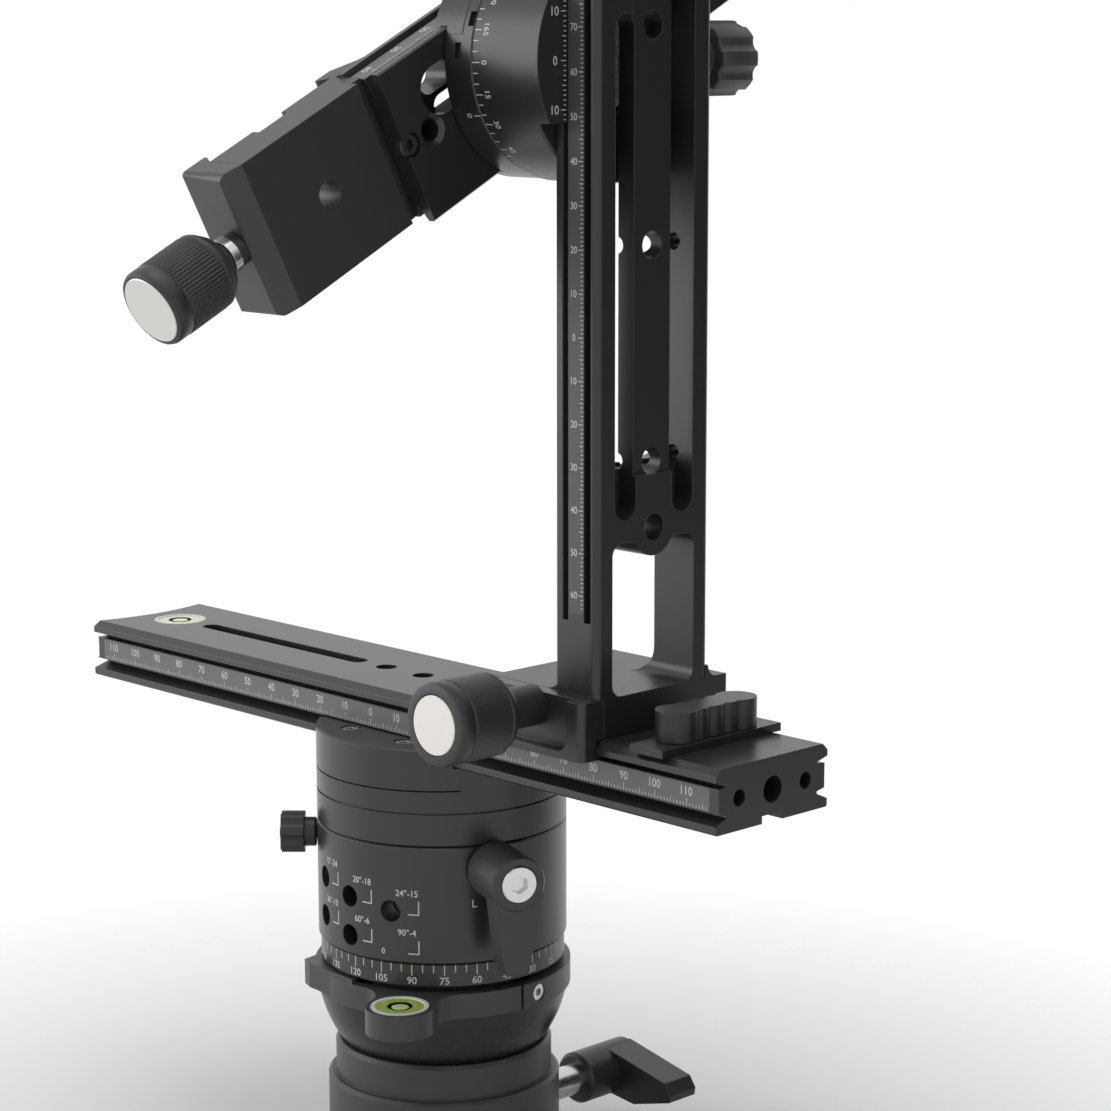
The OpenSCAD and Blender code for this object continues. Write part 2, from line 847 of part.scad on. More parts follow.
module rail() {
    color(black)
        difference() {
            translate([0, 0, rail_base])
                along_x(rail_start, rail_end_x)
                    rail_section();
            // Groove along the underside
            translate([rail_start - over, -3.5, rail_base - over])
                cube([rail_len + 2 * over, 7, 1.84 + over]);
            // Slot and holes for screws
            translate([rail_slot_x, 0, rail_base - over])
                linear_extrude(rail_h + 2 * over)
                    slot(rail_slot_len, rail_slot_w);
            for (x = rail_holes_x)
                translate([x, 0, rail_base - over])
                    cylinder(r = rail_hole_r, h = rail_h + 2 * over);
            translate([rail_bubble_x, 0, rail_base + rail_h - bubble_h])
                cylinder(r = bubble_r, h = bubble_h + over);
            // Hollowed end, and the threads in the other end
            translate([rail_start - 53.5, 0, rail_base - over])
                cylinder(r = 56.8, h = rail_h + 2 * over, $fn = 180);
            for (y = [-1, 0, 1])
                translate([rail_end_x + over, y * end_hole_y, rail_base + rail_h / 2])
                    rotate([0, -90, 0])
                        cylinder(r = y == 0 ? 3.175 : 2, h = 14 + over);
            translate([stop_x, 0, rail_top - stop_screw_depth - 0.5])
                cylinder(r = stop_screw_r + run_gap, h = stop_screw_depth + 0.5 + over);
            // Recess for the printed scale
            translate([rail_start - over, -land_half - over, rail_base + land_v0 + 0.25])
                cube([rail_len - 3 + over, over + strip_t, land_v1 - land_v0 - 0.5]);
        }
}
module rail_scale() {
    color(strip)
        translate([rail_start + 3.4, -land_half, rail_base + land_v0 + 0.25])
            cube([rail_len - 6.4, strip_t, land_v1 - land_v0 - 0.5]);
}
module rail_bubble_case() {
    color(white)
        translate([rail_bubble_x, 0, rail_base + rail_h - bubble_h])
            bubble_case(bubble_h);
}
module rail_bubble_glass() {
    color(lime)
        translate([rail_bubble_x, 0, rail_base + rail_h - bubble_h])
            bubble_glass(bubble_h);
}

// ---- Stop -----------------------------------------------------------------------
stop_half = rail_w / 2 + 1.2;
stop_t = 1.95;
stop_screw_r = 2.5;
stop_screw_depth = 9;
// The knob's flutes are a row of discs, with wider ones at its tips
stop_flute_r = 4.2;
stop_tip_r = 5;
module stop_plate() {
    color(black)
        difference() {
            translate([stop_x, 0, rail_top + stop_t / 2])
                cube([stop_w, 2 * stop_half, stop_t], center = true);
            translate([stop_x, 0, rail_top - over])
                cylinder(r = stop_screw_r + run_gap, h = stop_t + 2 * over);
        }
}
module stop_knob() {
    flute_pitch = (stop_knob_len / 2 - stop_tip_r) / 2;
    color(black) {
        translate([stop_x, 0, rail_top - stop_screw_depth])
            cylinder(r = stop_screw_r, h = stop_screw_depth + stop_t + over);
        translate([stop_x, 0, rail_top + stop_t + 0.1])
            linear_extrude(stop_knob_h)
                for (i = [-2:2])
                    translate([0, i * flute_pitch])
                        circle(abs(i) == 2 ? stop_tip_r : stop_flute_r);
    }
}

// ---- Upright ---------------------------------------------------------------------
foot_end = upright_x + upright_t;
foot_back = 25.4;
foot_front = -16.5;
groove_end = foot_top + 18;
rib_w = 6;
channel_half = rail_w / 2 - rib_w;
web_half = 6;
web_recess = 1;
web_thick = 5;
boss_z = foot_top + window_h + 2.7;
boss_r = 6.75;
channel_z = boss_z + 2.6;
open_z = foot_top + 53.7;
web_holes_z = [open_z + 0.8, open_z + 51, open_z + 101];
left_slot_top = web_holes_z[2] + 2.6;
right_slot_top = upright_top - 14;
foot_screw_x = foot_x + 19.3;
foot_screw_z = foot_z + 6;
guide_pin_r = 2;
guide_dx = 13;
guide_pin_y = foot_front + 12;
jaw_front = -23.8;
pocket_depth = 3;
back_fillet = 6.5;
rear_fillet = 3;

// Sweeps a section of the upright from z0 up to z1
module up_the_upright(z0, z1) {
    translate([upright_x, 0, z0])
        rotate([0, 0, -90])
            linear_extrude(z1 - z0)
                children();
}
module upright_column() {
    difference() {
        up_the_upright(foot_top - over, upright_top)
            upright_outline();
        // Side grooves above the plain lower part
        up_the_upright(groove_end, upright_top + over)
            upright_grooves();
        // Two channels beside the web, on the outer face
        along_x(foot_end - web_recess - web_thick, foot_end + over)
            difference() {
                union() {
                    for (s = [-1, 1])
                        translate([s * (web_half + channel_half) / 2, 0]) {
                            top = s < 0 ? left_slot_top : right_slot_top;
                            translate([0, (channel_z + top) / 2])
                                rotate(90)
                                    slot(top - channel_z, channel_half - web_half);
                        }
                }
                translate([0, boss_z])
                    circle(boss_r + 1);
            }
        // The web lies a little below the rims
        along_x(foot_end - web_recess, foot_end + over)
            translate([0, (channel_z + 8 + right_slot_top) / 2])
                square([2 * web_half + 3, right_slot_top - channel_z - 12], center = true);
        // Wide channel on the inner face
        along_x(upright_x - over, foot_end - web_recess - web_thick)
            translate([0, (open_z + upright_top - 10) / 2])
                rounded(2 * channel_half, upright_top - 10 - open_z, 3);
        // Holes for quarter inch screws, and cross holes in the ribs
        for (z = concat([boss_z], web_holes_z))
            translate([upright_x - over, 0, z])
                rotate([0, 90, 0])
                    cylinder(r = screw_hole_r, h = upright_t + 2 * over);
        for (z = [web_holes_z[0], web_holes_z[1]])
            facing_back(upright_x + upright_t / 2, -rail_w, z)
                cylinder(r = 2, h = 2 * rail_w);
        // Recess for the printed scale
        translate([upright_x + up_land_v0 + 0.2, -up_land_half - over, groove_end + 2])
            cube([up_land_v1 - up_land_v0 - 0.4, over + strip_t, upright_top]);
    }
}
module upright_bracket() {
    color(black)
        difference() {
            union() {
                upright_column();
                // Foot plate with its fixed hook behind the rail
                translate([foot_x, foot_front, foot_z])
                    cube([foot_end - foot_x, foot_back - foot_front, foot_t]);
                along_x(foot_x, foot_end)
                    translate([0, rail_base])
                        jaw_section(top_lip_v, land_v1, foot_back, rail_h + slide_gap + 1);
                // The upright stands on the plate over its whole width
                translate([upright_x, -rail_w / 2, foot_z])
                    cube([upright_t, rail_w / 2 + foot_front, foot_t]);
                // Fillets on the inner side and behind the column
                difference() {
                    translate([upright_x - back_fillet, foot_front, foot_top - over])
                        cube([back_fillet + 1, rail_w / 2 - foot_front, back_fillet + over]);
                    facing_back(upright_x - back_fillet, -rail_w, foot_top + back_fillet)
                        cylinder(r = back_fillet, h = 2 * rail_w);
                }
                difference() {
                    translate([upright_x, rail_w / 2 - 1, foot_top - over])
                        cube([upright_t, rear_fillet + 1, rear_fillet + over]);
                    translate([upright_x - over, rail_w / 2 + rear_fillet, foot_top + rear_fillet])
                        rotate([0, 90, 0])
                            cylinder(r = rear_fillet, h = upright_t + 2 * over);
                }
            }
            // Window over the foot
            translate([0, 0, foot_top + window_h / 2])
                along_x(upright_x - back_fillet - over, foot_end + over)
                    difference() {
                        rounded(2 * channel_half + 1.4, window_h, 3);
                        translate([0, boss_z - foot_top - window_h / 2])
                            circle(boss_r);
                    }
            // Room for the loose jaw under the front of the column
            translate([upright_x - over, -rail_w, foot_z - over])
                cube([upright_t + 2 * over, rail_w + foot_front, foot_t + over]);
            facing_front(foot_screw_x, foot_front + 26, foot_screw_z)
                cylinder(r = clamp_screw_r + run_gap, h = 40);
            for (s = [-1, 1])
                facing_front(foot_screw_x + s * guide_dx, guide_pin_y, foot_screw_z)
                    cylinder(r = guide_pin_r, h = 40);
        }
}
module upright_scale() {
    color(strip)
        translate([upright_x + up_land_v0 + 0.2, -up_land_half, groove_end + 2])
            cube([up_land_v1 - up_land_v0 - 0.4, strip_t, upright_top - groove_end - 2]);
}
module foot_guide_pins() {
    color(steel)
        for (s = [-1, 1])
            facing_front(foot_screw_x + s * guide_dx, guide_pin_y, foot_screw_z)
                cylinder(r = guide_pin_r, h = guide_pin_y - jaw_front - pocket_depth - 1.5);
}

// ---- Foot clamp -------------------------------------------------------------------
jaw_back = foot_front - 0.3;
knob_start = -32.2;
foot_cap_d = 18.2;
foot_collar_r = 5;
module foot_jaw() {
    post_w = 5.4;
    corner_r = 1.8;
    pocket_x = [foot_x + 3, foot_end - post_w];
    color(black)
        difference() {
            intersection() {
                union() {
                    translate([foot_x, jaw_front, foot_z])
                        cube([foot_end - foot_x, jaw_back - jaw_front, foot_t]);
                    along_x(foot_x, foot_end)
                        mirror([1, 0])
                            translate([0, rail_base])
                                jaw_section(top_lip_v, land_v1, -jaw_front, rail_h + slide_gap + 1);
                }
                // Rounds the outer upright edges
                translate([(foot_x + foot_end) / 2, jaw_front / 2, rail_base])
                    linear_extrude(rail_h + 2 * foot_t)
                        rounded(foot_end - foot_x, -jaw_front, corner_r);
            }
            // Milled pocket around the knob, beside the end post
            translate([0, jaw_front + pocket_depth, 0])
                along_y(-20, 0)
                    translate([(pocket_x[0] + pocket_x[1]) / 2, foot_top - 4])
                        rounded(pocket_x[1] - pocket_x[0], 16.4, 2.5);
            facing_front(foot_screw_x, 0, foot_screw_z)
                cylinder(r = clamp_screw_r + run_gap, h = 40);
            for (s = [-1, 1])
                facing_front(foot_screw_x + s * guide_dx, 0, foot_screw_z)
                    cylinder(r = guide_pin_r + run_gap, h = -jaw_front - pocket_depth - 0.9);
        }
}
module foot_screw() {
    color(steel)
        facing_front(foot_screw_x, foot_front + 12, foot_screw_z)
            cylinder(r = clamp_screw_r, h = foot_front + 12 - knob_start + 4);
}
// A round clamp knob with a stepped collar, standing on its collar's face
module clamp_knob(d, length, collar_r, collar_h, bore_r, cap_d) {
    difference() {
        rotate_extrude()
            polygon([
                [0, 0], [collar_r, 0], [collar_r, collar_h], [d / 2 - 2.4, collar_h],
                [d / 2, collar_h + 3], [d / 2, collar_h + length - 1.2],
                [d / 2 - 1.2, collar_h + length], [0, collar_h + length]
            ]);
        translate([0, 0, -over])
            cylinder(r = bore_r, h = collar_h + 5);
        translate([0, 0, collar_h + length - 0.8])
            cylinder(d = cap_d, h = 3);
    }
}
foot_collar_h = jaw_front + pocket_depth - 0.1 - knob_start;
module foot_knob() {
    color(black)
        facing_front(foot_screw_x, knob_start + foot_collar_h, foot_screw_z)
            clamp_knob(foot_knob_d, foot_knob_len, foot_collar_r, foot_collar_h, clamp_screw_r, foot_cap_d);
}
module foot_knob_cap() {
    color(white)
        facing_front(foot_screw_x, knob_start - foot_knob_len + 0.8, foot_screw_z)
            turned(foot_cap_d / 2, 1, 0.2);
}

// ---- Tilt rotator -------------------------------------------------------------------
tilt_end = upright_x - part_gap;
tilt_start = tilt_end - tilt_len;
lip_x = upright_x + up_land_v0 - slide_gap;
tilt_screw_x = tilt_end - 4.1;
tilt_screw_r = 2.5;
// A flat for the collar of the clamp's knob
tilt_flat_r = 7;
tilt_flat_y = tilt_r - 1.6;
jaw_y = 18.5;
tilt_jaw_x = tilt_end - 8;
retainer_r = 12;
retainer_x = tilt_end - 6.5;
hub_x = tilt_start - part_gap;
arm_face = hub_x - hub_t;

module on_tilt_axis() {
    translate([0, 0, tilt_z])
        children();
}
// One lip beside the upright, kept inside the rotator's round outline
module tilt_lip(back) {
    intersection() {
        translate([tilt_start, 0, 0])
            rotate([0, 90, 0])
                cylinder(r = tilt_r, h = lip_x - tilt_start);
        translate([0, 0, -lip_half])
            linear_extrude(2 * lip_half)
                translate([upright_x, 0])
                    rotate(-90)
                        mirror([1, 0])
                            jaw_section(up_lip_v, up_land_v0, tilt_r + over, back, up_land_half);
    }
}
module tilt_body() {
    color(black)
        on_tilt_axis()
            difference() {
                union() {
                    translate([tilt_start, 0, 0])
                        rotate([0, 90, 0])
                            turned(tilt_r, tilt_len, 0.5);
                    mirror([0, 1, 0])
                        tilt_lip(-2);
                }
                translate([tilt_start - over, 0, 0])
                    rotate([0, 90, 0])
                        cylinder(r = hub_spindle_r + run_gap, h = tilt_len + 2 * over);
                translate([retainer_x - 0.2, 0, 0])
                    rotate([0, 90, 0])
                        cylinder(r = retainer_r + part_gap, h = tilt_len);
                // Pocket for the sliding jaw
                translate([tilt_jaw_x - 0.15, jaw_y - 0.15, -lip_half - 0.15])
                    cube([tilt_len, tilt_r, 2 * lip_half + 0.3]);
                facing_back(tilt_screw_x, retainer_r - 2, 0)
                    cylinder(r = tilt_screw_r + run_gap, h = tilt_r);
                facing_back(tilt_screw_x, tilt_flat_y, 0)
                    cylinder(r = tilt_flat_r, h = 4);
            }
}
module tilt_jaw() {
    color(black)
        on_tilt_axis()
            difference() {
                union() {
                    tilt_lip(-2);
                    intersection() {
                        translate([tilt_jaw_x, jaw_y, -lip_half])
                            cube([tilt_end - tilt_jaw_x, tilt_r, 2 * lip_half]);
                        translate([tilt_start, 0, 0])
                            rotate([0, 90, 0])
                                cylinder(r = tilt_r, h = tilt_len);
                    }
                }
                facing_back(tilt_screw_x, 0, 0)
                    cylinder(r = tilt_screw_r + run_gap, h = 2 * tilt_r);
                facing_back(tilt_screw_x, tilt_flat_y, 0)
                    cylinder(r = tilt_flat_r, h = 4);
            }
}
tilt_knob_y = tilt_flat_y + 0.1;
module tilt_screw() {
    color(steel)
        on_tilt_axis()
            facing_back(tilt_screw_x, retainer_r + part_gap + 0.4, 0)
                cylinder(r = tilt_screw_r, h = tilt_knob_y + 8 - retainer_r - part_gap - 0.4);
}
module tilt_knob() {
    collar_h = 5;
    color(dark)
        on_tilt_axis()
            facing_back(tilt_screw_x, tilt_knob_y, 0)
                difference() {
                    union() {
                        cylinder(r = 6, h = collar_h + 1);
                        translate([0, 0, collar_h])
                            linear_extrude(12.5)
                                lobes(tilt_knob_d / 2, 8, 2.6, 0.9);
                    }
                    translate([0, 0, -over])
                        cylinder(r = tilt_screw_r, h = 8 + over);
                }
}

// ---- Arm: built level along -Y, then tilted about the tilt axis ---------------
module on_arm() {
    translate([0, 0, tilt_z])
        rotate([arm_tilt, 0, 0])
            children();
}
// Turns the clamp rotor's +Z to -X and its +X along the arm
module on_hub() {
    translate([arm_face, 0, 0])
        rotate([0, -90, 0])
            rotate([0, 0, 90])
                children();
}
arm_base = arm_face - slide_gap;
hub_r = tilt_r - 0.4;
// Small pockets in the hub's edge: distance from the arm's face, angle around the axis
hub_pockets = [[4.7, 148.4], [8.2, 133.4]];
module tilt_hub() {
    color(black)
        on_arm()
            difference() {
                union() {
                    on_hub()
                        clamp_rotor(hub_r, hub_t);
                    translate([hub_x - over, 0, 0])
                        rotate([0, 90, 0])
                            cylinder(r = hub_spindle_r, h = retainer_x - hub_x + over);
                }
                translate([hub_x, 0, 0])
                    rotate([0, 90, 0])
                        cylinder(r = 2.5, h = tilt_len);
                for (p = hub_pockets)
                    rotate([p[1], 0, 0])
                        translate([arm_face + p[0], hub_r, 0])
                            cube([2, 2.4, 3.5], center = true);
            }
}
module hub_jaw() {
    color(black)
        on_arm()
            on_hub()
                loose_jaw(hub_r);
}
module hub_jaw_screws() {
    color(steel)
        on_arm()
            on_hub()
                jaw_screws();
}
module hub_retainer() {
    color(steel)
        on_arm() {
            translate([retainer_x, 0, 0])
                rotate([0, 90, 0])
                    turned(retainer_r, 3, 0.3);
            translate([hub_x + 1, 0, 0])
                rotate([0, 90, 0])
                    cylinder(r = 2.5, h = retainer_x - hub_x);
        }
}
// Plane x is across the arm, plane y is up from the hub, swept along -Y
module along_arm(a0, a1) {
    translate([arm_base, -a0, 0])
        rotate([90, -90, 0])
            linear_extrude(a1 - a0)
                children();
}
// Drills from the arm's outer face, at a along the arm and b across it
module into_arm(a, b, depth) {
    translate([arm_base + over, -a, b])
        rotate([0, -90, 0])
            cylinder(r = $drill, h = depth + over);
}
arm_start = arm_end - arm_len;
// Openings of the arm near the hub: start and end along it, lower and upper edge across it
arm_pocket = [10, 34.8, 1.5, 13.2];
arm_pocket_depth = 7;
arm_windows = [[18.9, 29, 4.6, 11.6], [12, 27.2, -3.8, 3.4]];
arm_hole_a = arm_end - 9.2;
bolt_a = arm_end - 2;
bolt_head_r = 2.75;
cam_floor_v = rail_h + 1.3;
cam_back_v = cam_floor_v - cam_t;
cam_mid = arm_end + 20.1;
cam_hole_a = cam_mid + 1.4;
cam_a0 = cam_mid - cam_mouth / 2 - 1.3;
cam_a1 = cam_mid + cam_mouth / 2 + 1.9;
cam_end = cam_a1 + 6.1;
undercut = 1.6;
jaw_lip = 1.3;

// An opening of the arm between the depths v0 and v1, with corners of radius r
module arm_opening(o, v0, v1, r) {
    translate([arm_base - v1, -(o[0] + o[1]) / 2, (o[2] + o[3]) / 2])
        rotate([90, 0, 90])
            linear_extrude(v1 - v0)
                rounded(o[1] - o[0], o[3] - o[2], r);
}
module arm_rail() {
    color(black)
        on_arm()
            difference() {
                along_arm(arm_start, arm_end)
                    rail_section();
                // Pocket near the hub, with two windows that open from the outer side
                arm_opening(arm_pocket, -over, arm_pocket_depth, 5.7);
                for (w = arm_windows)
                    arm_opening(w, arm_pocket_depth - 0.5, rail_h + over, 3);
                // Countersunk hole
                into_arm(arm_hole_a, 0, rail_h + over, $drill = 2.6);
                translate([arm_base + 0.01, -arm_hole_a, 0])
                    rotate([0, -90, 0])
                        cylinder(r1 = 3.7, r2 = 2.6, h = 1.1);
                into_arm(bolt_a, 0, rail_h + over, $drill = 1.5);
                into_arm(bolt_a, 0, 4, $drill = bolt_head_r + 0.15);
                // Slot for screws at the far end
                translate([arm_base - rail_h - over, -(arm_start + 35), 0])
                    rotate([90, 0, 90])
                        linear_extrude(rail_h + 2 * over)
                            slot(50, rail_slot_w);
                // Recess for the printed scale
                translate([arm_base - land_v1 + 0.25, -arm_end - over, land_half - strip_t])
                    cube([land_v1 - land_v0 - 0.5, arm_len + 2 * over, over + strip_t]);
            }
}
module arm_scale() {
    color(strip)
        on_arm()
            translate([arm_base - land_v1 + 0.25, -arm_end, land_half - strip_t])
                cube([land_v1 - land_v0 - 0.5, arm_len, strip_t]);
}
// Side view of the clamp: plane x runs along the arm, plane y out from the hub
module clamp_profile() {
    polygon([
        [arm_end, cam_back_v + 2], [arm_end + 2.8, cam_back_v + 2], [arm_end + 2.8, cam_back_v],
        [cam_a1, cam_back_v], [cam_a1, cam_floor_v],
        [cam_hole_a + 4.7, cam_floor_v], [cam_hole_a + 4.7, cam_floor_v - 2.3],
        [cam_hole_a - 4.7, cam_floor_v - 2.3], [cam_hole_a - 4.7, cam_floor_v],
        [cam_a0 - undercut + jaw_lip, cam_floor_v],
        [cam_a0 + jaw_lip, cam_floor_v + cam_jaw_h - 1], [cam_a0 + jaw_lip, cam_floor_v + cam_jaw_h],
        [cam_a0 - 3.6, cam_floor_v + cam_jaw_h], [cam_a0 - 9, cam_floor_v],
        [cam_a0 - 12, rail_h], [arm_end, rail_h]
    ]);
}
// Sweeps a side view across the arm
module across_arm(w) {
    translate([arm_base, 0, w / 2])
        rotate([0, 180, 0])
            rotate([0, 0, -90])
                linear_extrude(w)
                    children();
}
module camera_clamp() {
    color(black)
        on_arm()
            difference() {
                across_arm(cam_w)
                    clamp_profile();
                translate([arm_base - cam_back_v + over, -cam_hole_a, 0])
                    rotate([0, -90, 0])
                        cylinder(r = 3.175, h = cam_t + 2 * over);
                clamp_drill(cam_hole_a + 5, 40, clamp_screw_r + run_gap, 0);
                for (s = [-1, 1])
                    clamp_drill(cam_a1 - 10, 40, guide_pin_r, s * 12);
                translate([arm_base - rail_h - 3, -bolt_a, 0])
                    rotate([0, 90, 0])
                        cylinder(r = 1.5, h = 5);
            }
}
cam_screw_v = cam_floor_v - 6;
// A hole along the arm from a outwards, at b across it
module clamp_drill(a, depth, r, b) {
    facing_front(arm_base - cam_screw_v, -a, b)
        cylinder(r = r, h = depth);
}
module clamp_bolt() {
    color(steel)
        on_arm()
            translate([arm_base - rail_h - 2.6, -bolt_a, 0])
                rotate([0, 90, 0])
                    cap_screw(1.5, rail_h + 2.6 - 3.6, bolt_head_r, 2.6);
}
module camera_guide_pins() {
    color(steel)
        on_arm()
            for (s = [-1, 1])
                facing_front(arm_base - cam_screw_v, -cam_a1 + 10, s * 12)
                    cylinder(r = guide_pin_r, h = cam_end - cam_a1 + 8.4);
}
module camera_jaw() {
    a0 = cam_a1 + slide_gap;
    top = cam_floor_v + cam_jaw_h;
    lip_a = cam_a1 - 1.9;
    corner_r = 2;
    color(black)
        on_arm()
            difference() {
                intersection() {
                    across_arm(cam_w)
                        polygon([
                            [a0, cam_back_v], [cam_end - 0.8, cam_back_v + 1.5],
                            [cam_end, cam_back_v + 2.3], [cam_end - 0.6, top], [lip_a, top],
                            [lip_a, top - 1], [lip_a + undercut, cam_floor_v + 0.2],
                            [a0, cam_floor_v + 0.2]
                        ]);
                    // Rounds the corners beside the knob
                    arm_opening([lip_a - 2 * corner_r, cam_end, -cam_w / 2, cam_w / 2],
                                cam_back_v - over, top + over, corner_r);
                }
                clamp_drill(cam_mid, 40, clamp_screw_r + run_gap, 0);
                for (s = [-1, 1])
                    clamp_drill(cam_mid, cam_end - 1.2 - cam_mid, guide_pin_r + run_gap, s * 12);
            }
}
cam_knob_a = cam_end + 7;
module camera_screw() {
    color(steel)
        on_arm()
            facing_front(arm_base - cam_screw_v, -cam_hole_a - 5.4, 0)
                cylinder(r = clamp_screw_r, h = cam_knob_a + 3 - cam_hole_a - 5.4);
}
module camera_knob() {
    color(black)
        on_arm()
            facing_front(arm_base - cam_screw_v, -cam_end - 0.1, 0)
                clamp_knob(cam_knob_d, cam_knob_len, 4, cam_knob_a - cam_end - 0.1, clamp_screw_r,
                           cam_knob_d - 2.6);
}
module camera_knob_cap() {
    color(white)
        on_arm()
            facing_front(arm_base - cam_screw_v, -(cam_knob_a + cam_knob_len - 0.8), 0)
                turned(cam_knob_d / 2 - 1.3, 1, 0.2);
}

base_shell();
tripod_bush();
lock_shaft();
base_lever();
draw_bolt();
clamp_washer();
level_ball();
ball_plate();
centre_stud();
platform_ring();
ring_screw();
ear_bubble_case();
ear_bubble_glass();
scale_plate();
detent_drum();
spindle_bolt();
index_body();
index_plunger();
lock_lever();
lever_cap_screw();
drag_knob();
pan_rotor();
rotor_jaw();
rotor_jaw_screws();
rail();
rail_scale();
rail_bubble_case();
rail_bubble_glass();
stop_plate();
stop_knob();
upright_bracket();
upright_scale();
foot_guide_pins();
foot_jaw();
foot_screw();
foot_knob();
foot_knob_cap();
tilt_body();
tilt_jaw();
tilt_screw();
tilt_knob();
tilt_hub();
hub_jaw();
hub_jaw_screws();
hub_retainer();
arm_rail();
arm_scale();
camera_clamp();
clamp_bolt();
camera_guide_pins();
camera_jaw();
camera_screw();
camera_knob();
camera_knob_cap();
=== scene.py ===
import math
import bpy
from mathutils import Matrix, Vector


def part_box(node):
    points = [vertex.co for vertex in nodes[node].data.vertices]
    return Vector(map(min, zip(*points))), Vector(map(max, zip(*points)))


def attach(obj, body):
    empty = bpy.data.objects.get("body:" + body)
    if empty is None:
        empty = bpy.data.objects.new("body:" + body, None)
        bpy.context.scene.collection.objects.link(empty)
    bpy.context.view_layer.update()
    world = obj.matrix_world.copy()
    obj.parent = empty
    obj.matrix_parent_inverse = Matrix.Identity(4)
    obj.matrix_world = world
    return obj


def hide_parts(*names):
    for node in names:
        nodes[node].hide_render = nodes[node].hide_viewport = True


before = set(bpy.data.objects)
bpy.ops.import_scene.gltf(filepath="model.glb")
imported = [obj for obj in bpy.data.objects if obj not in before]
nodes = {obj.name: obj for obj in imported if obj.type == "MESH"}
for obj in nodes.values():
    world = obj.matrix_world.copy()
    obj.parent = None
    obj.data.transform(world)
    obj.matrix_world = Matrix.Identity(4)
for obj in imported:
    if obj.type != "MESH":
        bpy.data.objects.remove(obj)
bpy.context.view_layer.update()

MM = 0.001
scene = bpy.context.scene

# The box of each CAD node, in mm
lo, hi = {}, {}
for node in nodes:
    low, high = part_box(node)
    lo[node] = [v / MM for v in low]
    hi[node] = [v / MM for v in high]


# ---- Materials ---------------------------------------------------------------
COAT_ROUGHNESS = 0.15
GRAIN_DETAIL = 3
BUMP_DISTANCE = 0.0001
BEVEL_SAMPLES = 4

MATERIALS = {
    "anodised": dict(color=(0.020, 0.020, 0.021), rough=0.36, spec=0.55, noise=0.05, scale=1400,
                     bevel=0.35, bump=0.12),
    "satin_black": dict(color=(0.024, 0.024, 0.026), rough=0.46, noise=0.05, scale=1200, bevel=0.3),
    "turned_black": dict(color=(0.026, 0.026, 0.027), rough=0.31, spec=0.55, noise=0.05, scale=1400,
                         bevel=0.12, bump=0.12),
    # lighter than the other blacks: a painted highlight on the front of the platform ring, also worn
    # by the lock lever
    "ring_black_painted_highlight": dict(color=(0.045, 0.045, 0.047), rough=0.38, noise=0.05, scale=1200, bevel=0.3),
    "clamp_black": dict(color=(0.038, 0.038, 0.043), rough=0.40, spec=0.55, noise=0.05, scale=1400,
                        bevel=0.35, bump=0.12),
    # lighter than the other blacks: a painted reflection on the front of the base shell
    "base_black_painted_reflection": dict(color=(0.050, 0.050, 0.052), rough=0.42, spec=0.45, noise=0.05, scale=1200,
                       bevel=0.4),
    # darker than the other blacks: painted shade on the level ball between the ring and the base;
    # its lower roughness is the real gloss
    "ball_black_painted_shade": dict(color=(0.012, 0.012, 0.013), rough=0.28, noise=0.04, scale=1200, bevel=0.3),
    "rail_black": dict(color=(0.022, 0.022, 0.023), rough=0.33, spec=0.6, noise=0.04, scale=1400,
                       bevel=0.25),
    "plastic": dict(color=(0.022, 0.022, 0.024), rough=0.38, noise=0.05, scale=800, bevel=0.4),
    "dark_grey": dict(color=(0.045, 0.045, 0.048), rough=0.48, noise=0.05, scale=800, bevel=0.4),
    "steel": dict(color=(0.62, 0.61, 0.60), rough=0.26, metal=1.0, noise=0.06, bevel=0.12),
    "cap": dict(color=(0.70, 0.68, 0.65), rough=0.34, metal=0.75, noise=0.05, bevel=0.1),
    "strip": dict(color=(0.155, 0.155, 0.155), rough=0.5, metal=0.2),
    "upright_strip": dict(color=(0.085, 0.085, 0.085), rough=0.5, metal=0.2),
    "brass": dict(color=(0.50, 0.36, 0.14), rough=0.35, metal=1.0),
    "white": dict(color=(0.80, 0.80, 0.78), rough=0.4),
    "liquid": dict(color=(0.42, 0.62, 0.07), rough=0.12, spec=0.6, coat=0.6),
    "liquid_pale": dict(color=(0.62, 0.72, 0.36), rough=0.12, spec=0.6, coat=0.6),
    "print": dict(color=(0.72, 0.72, 0.70), rough=0.55),
    "bubble": dict(color=(0.80, 0.88, 0.45), rough=0.1, spec=0.6, coat=0.6),
    "ink": dict(color=(0.05, 0.10, 0.02), rough=0.5),
}

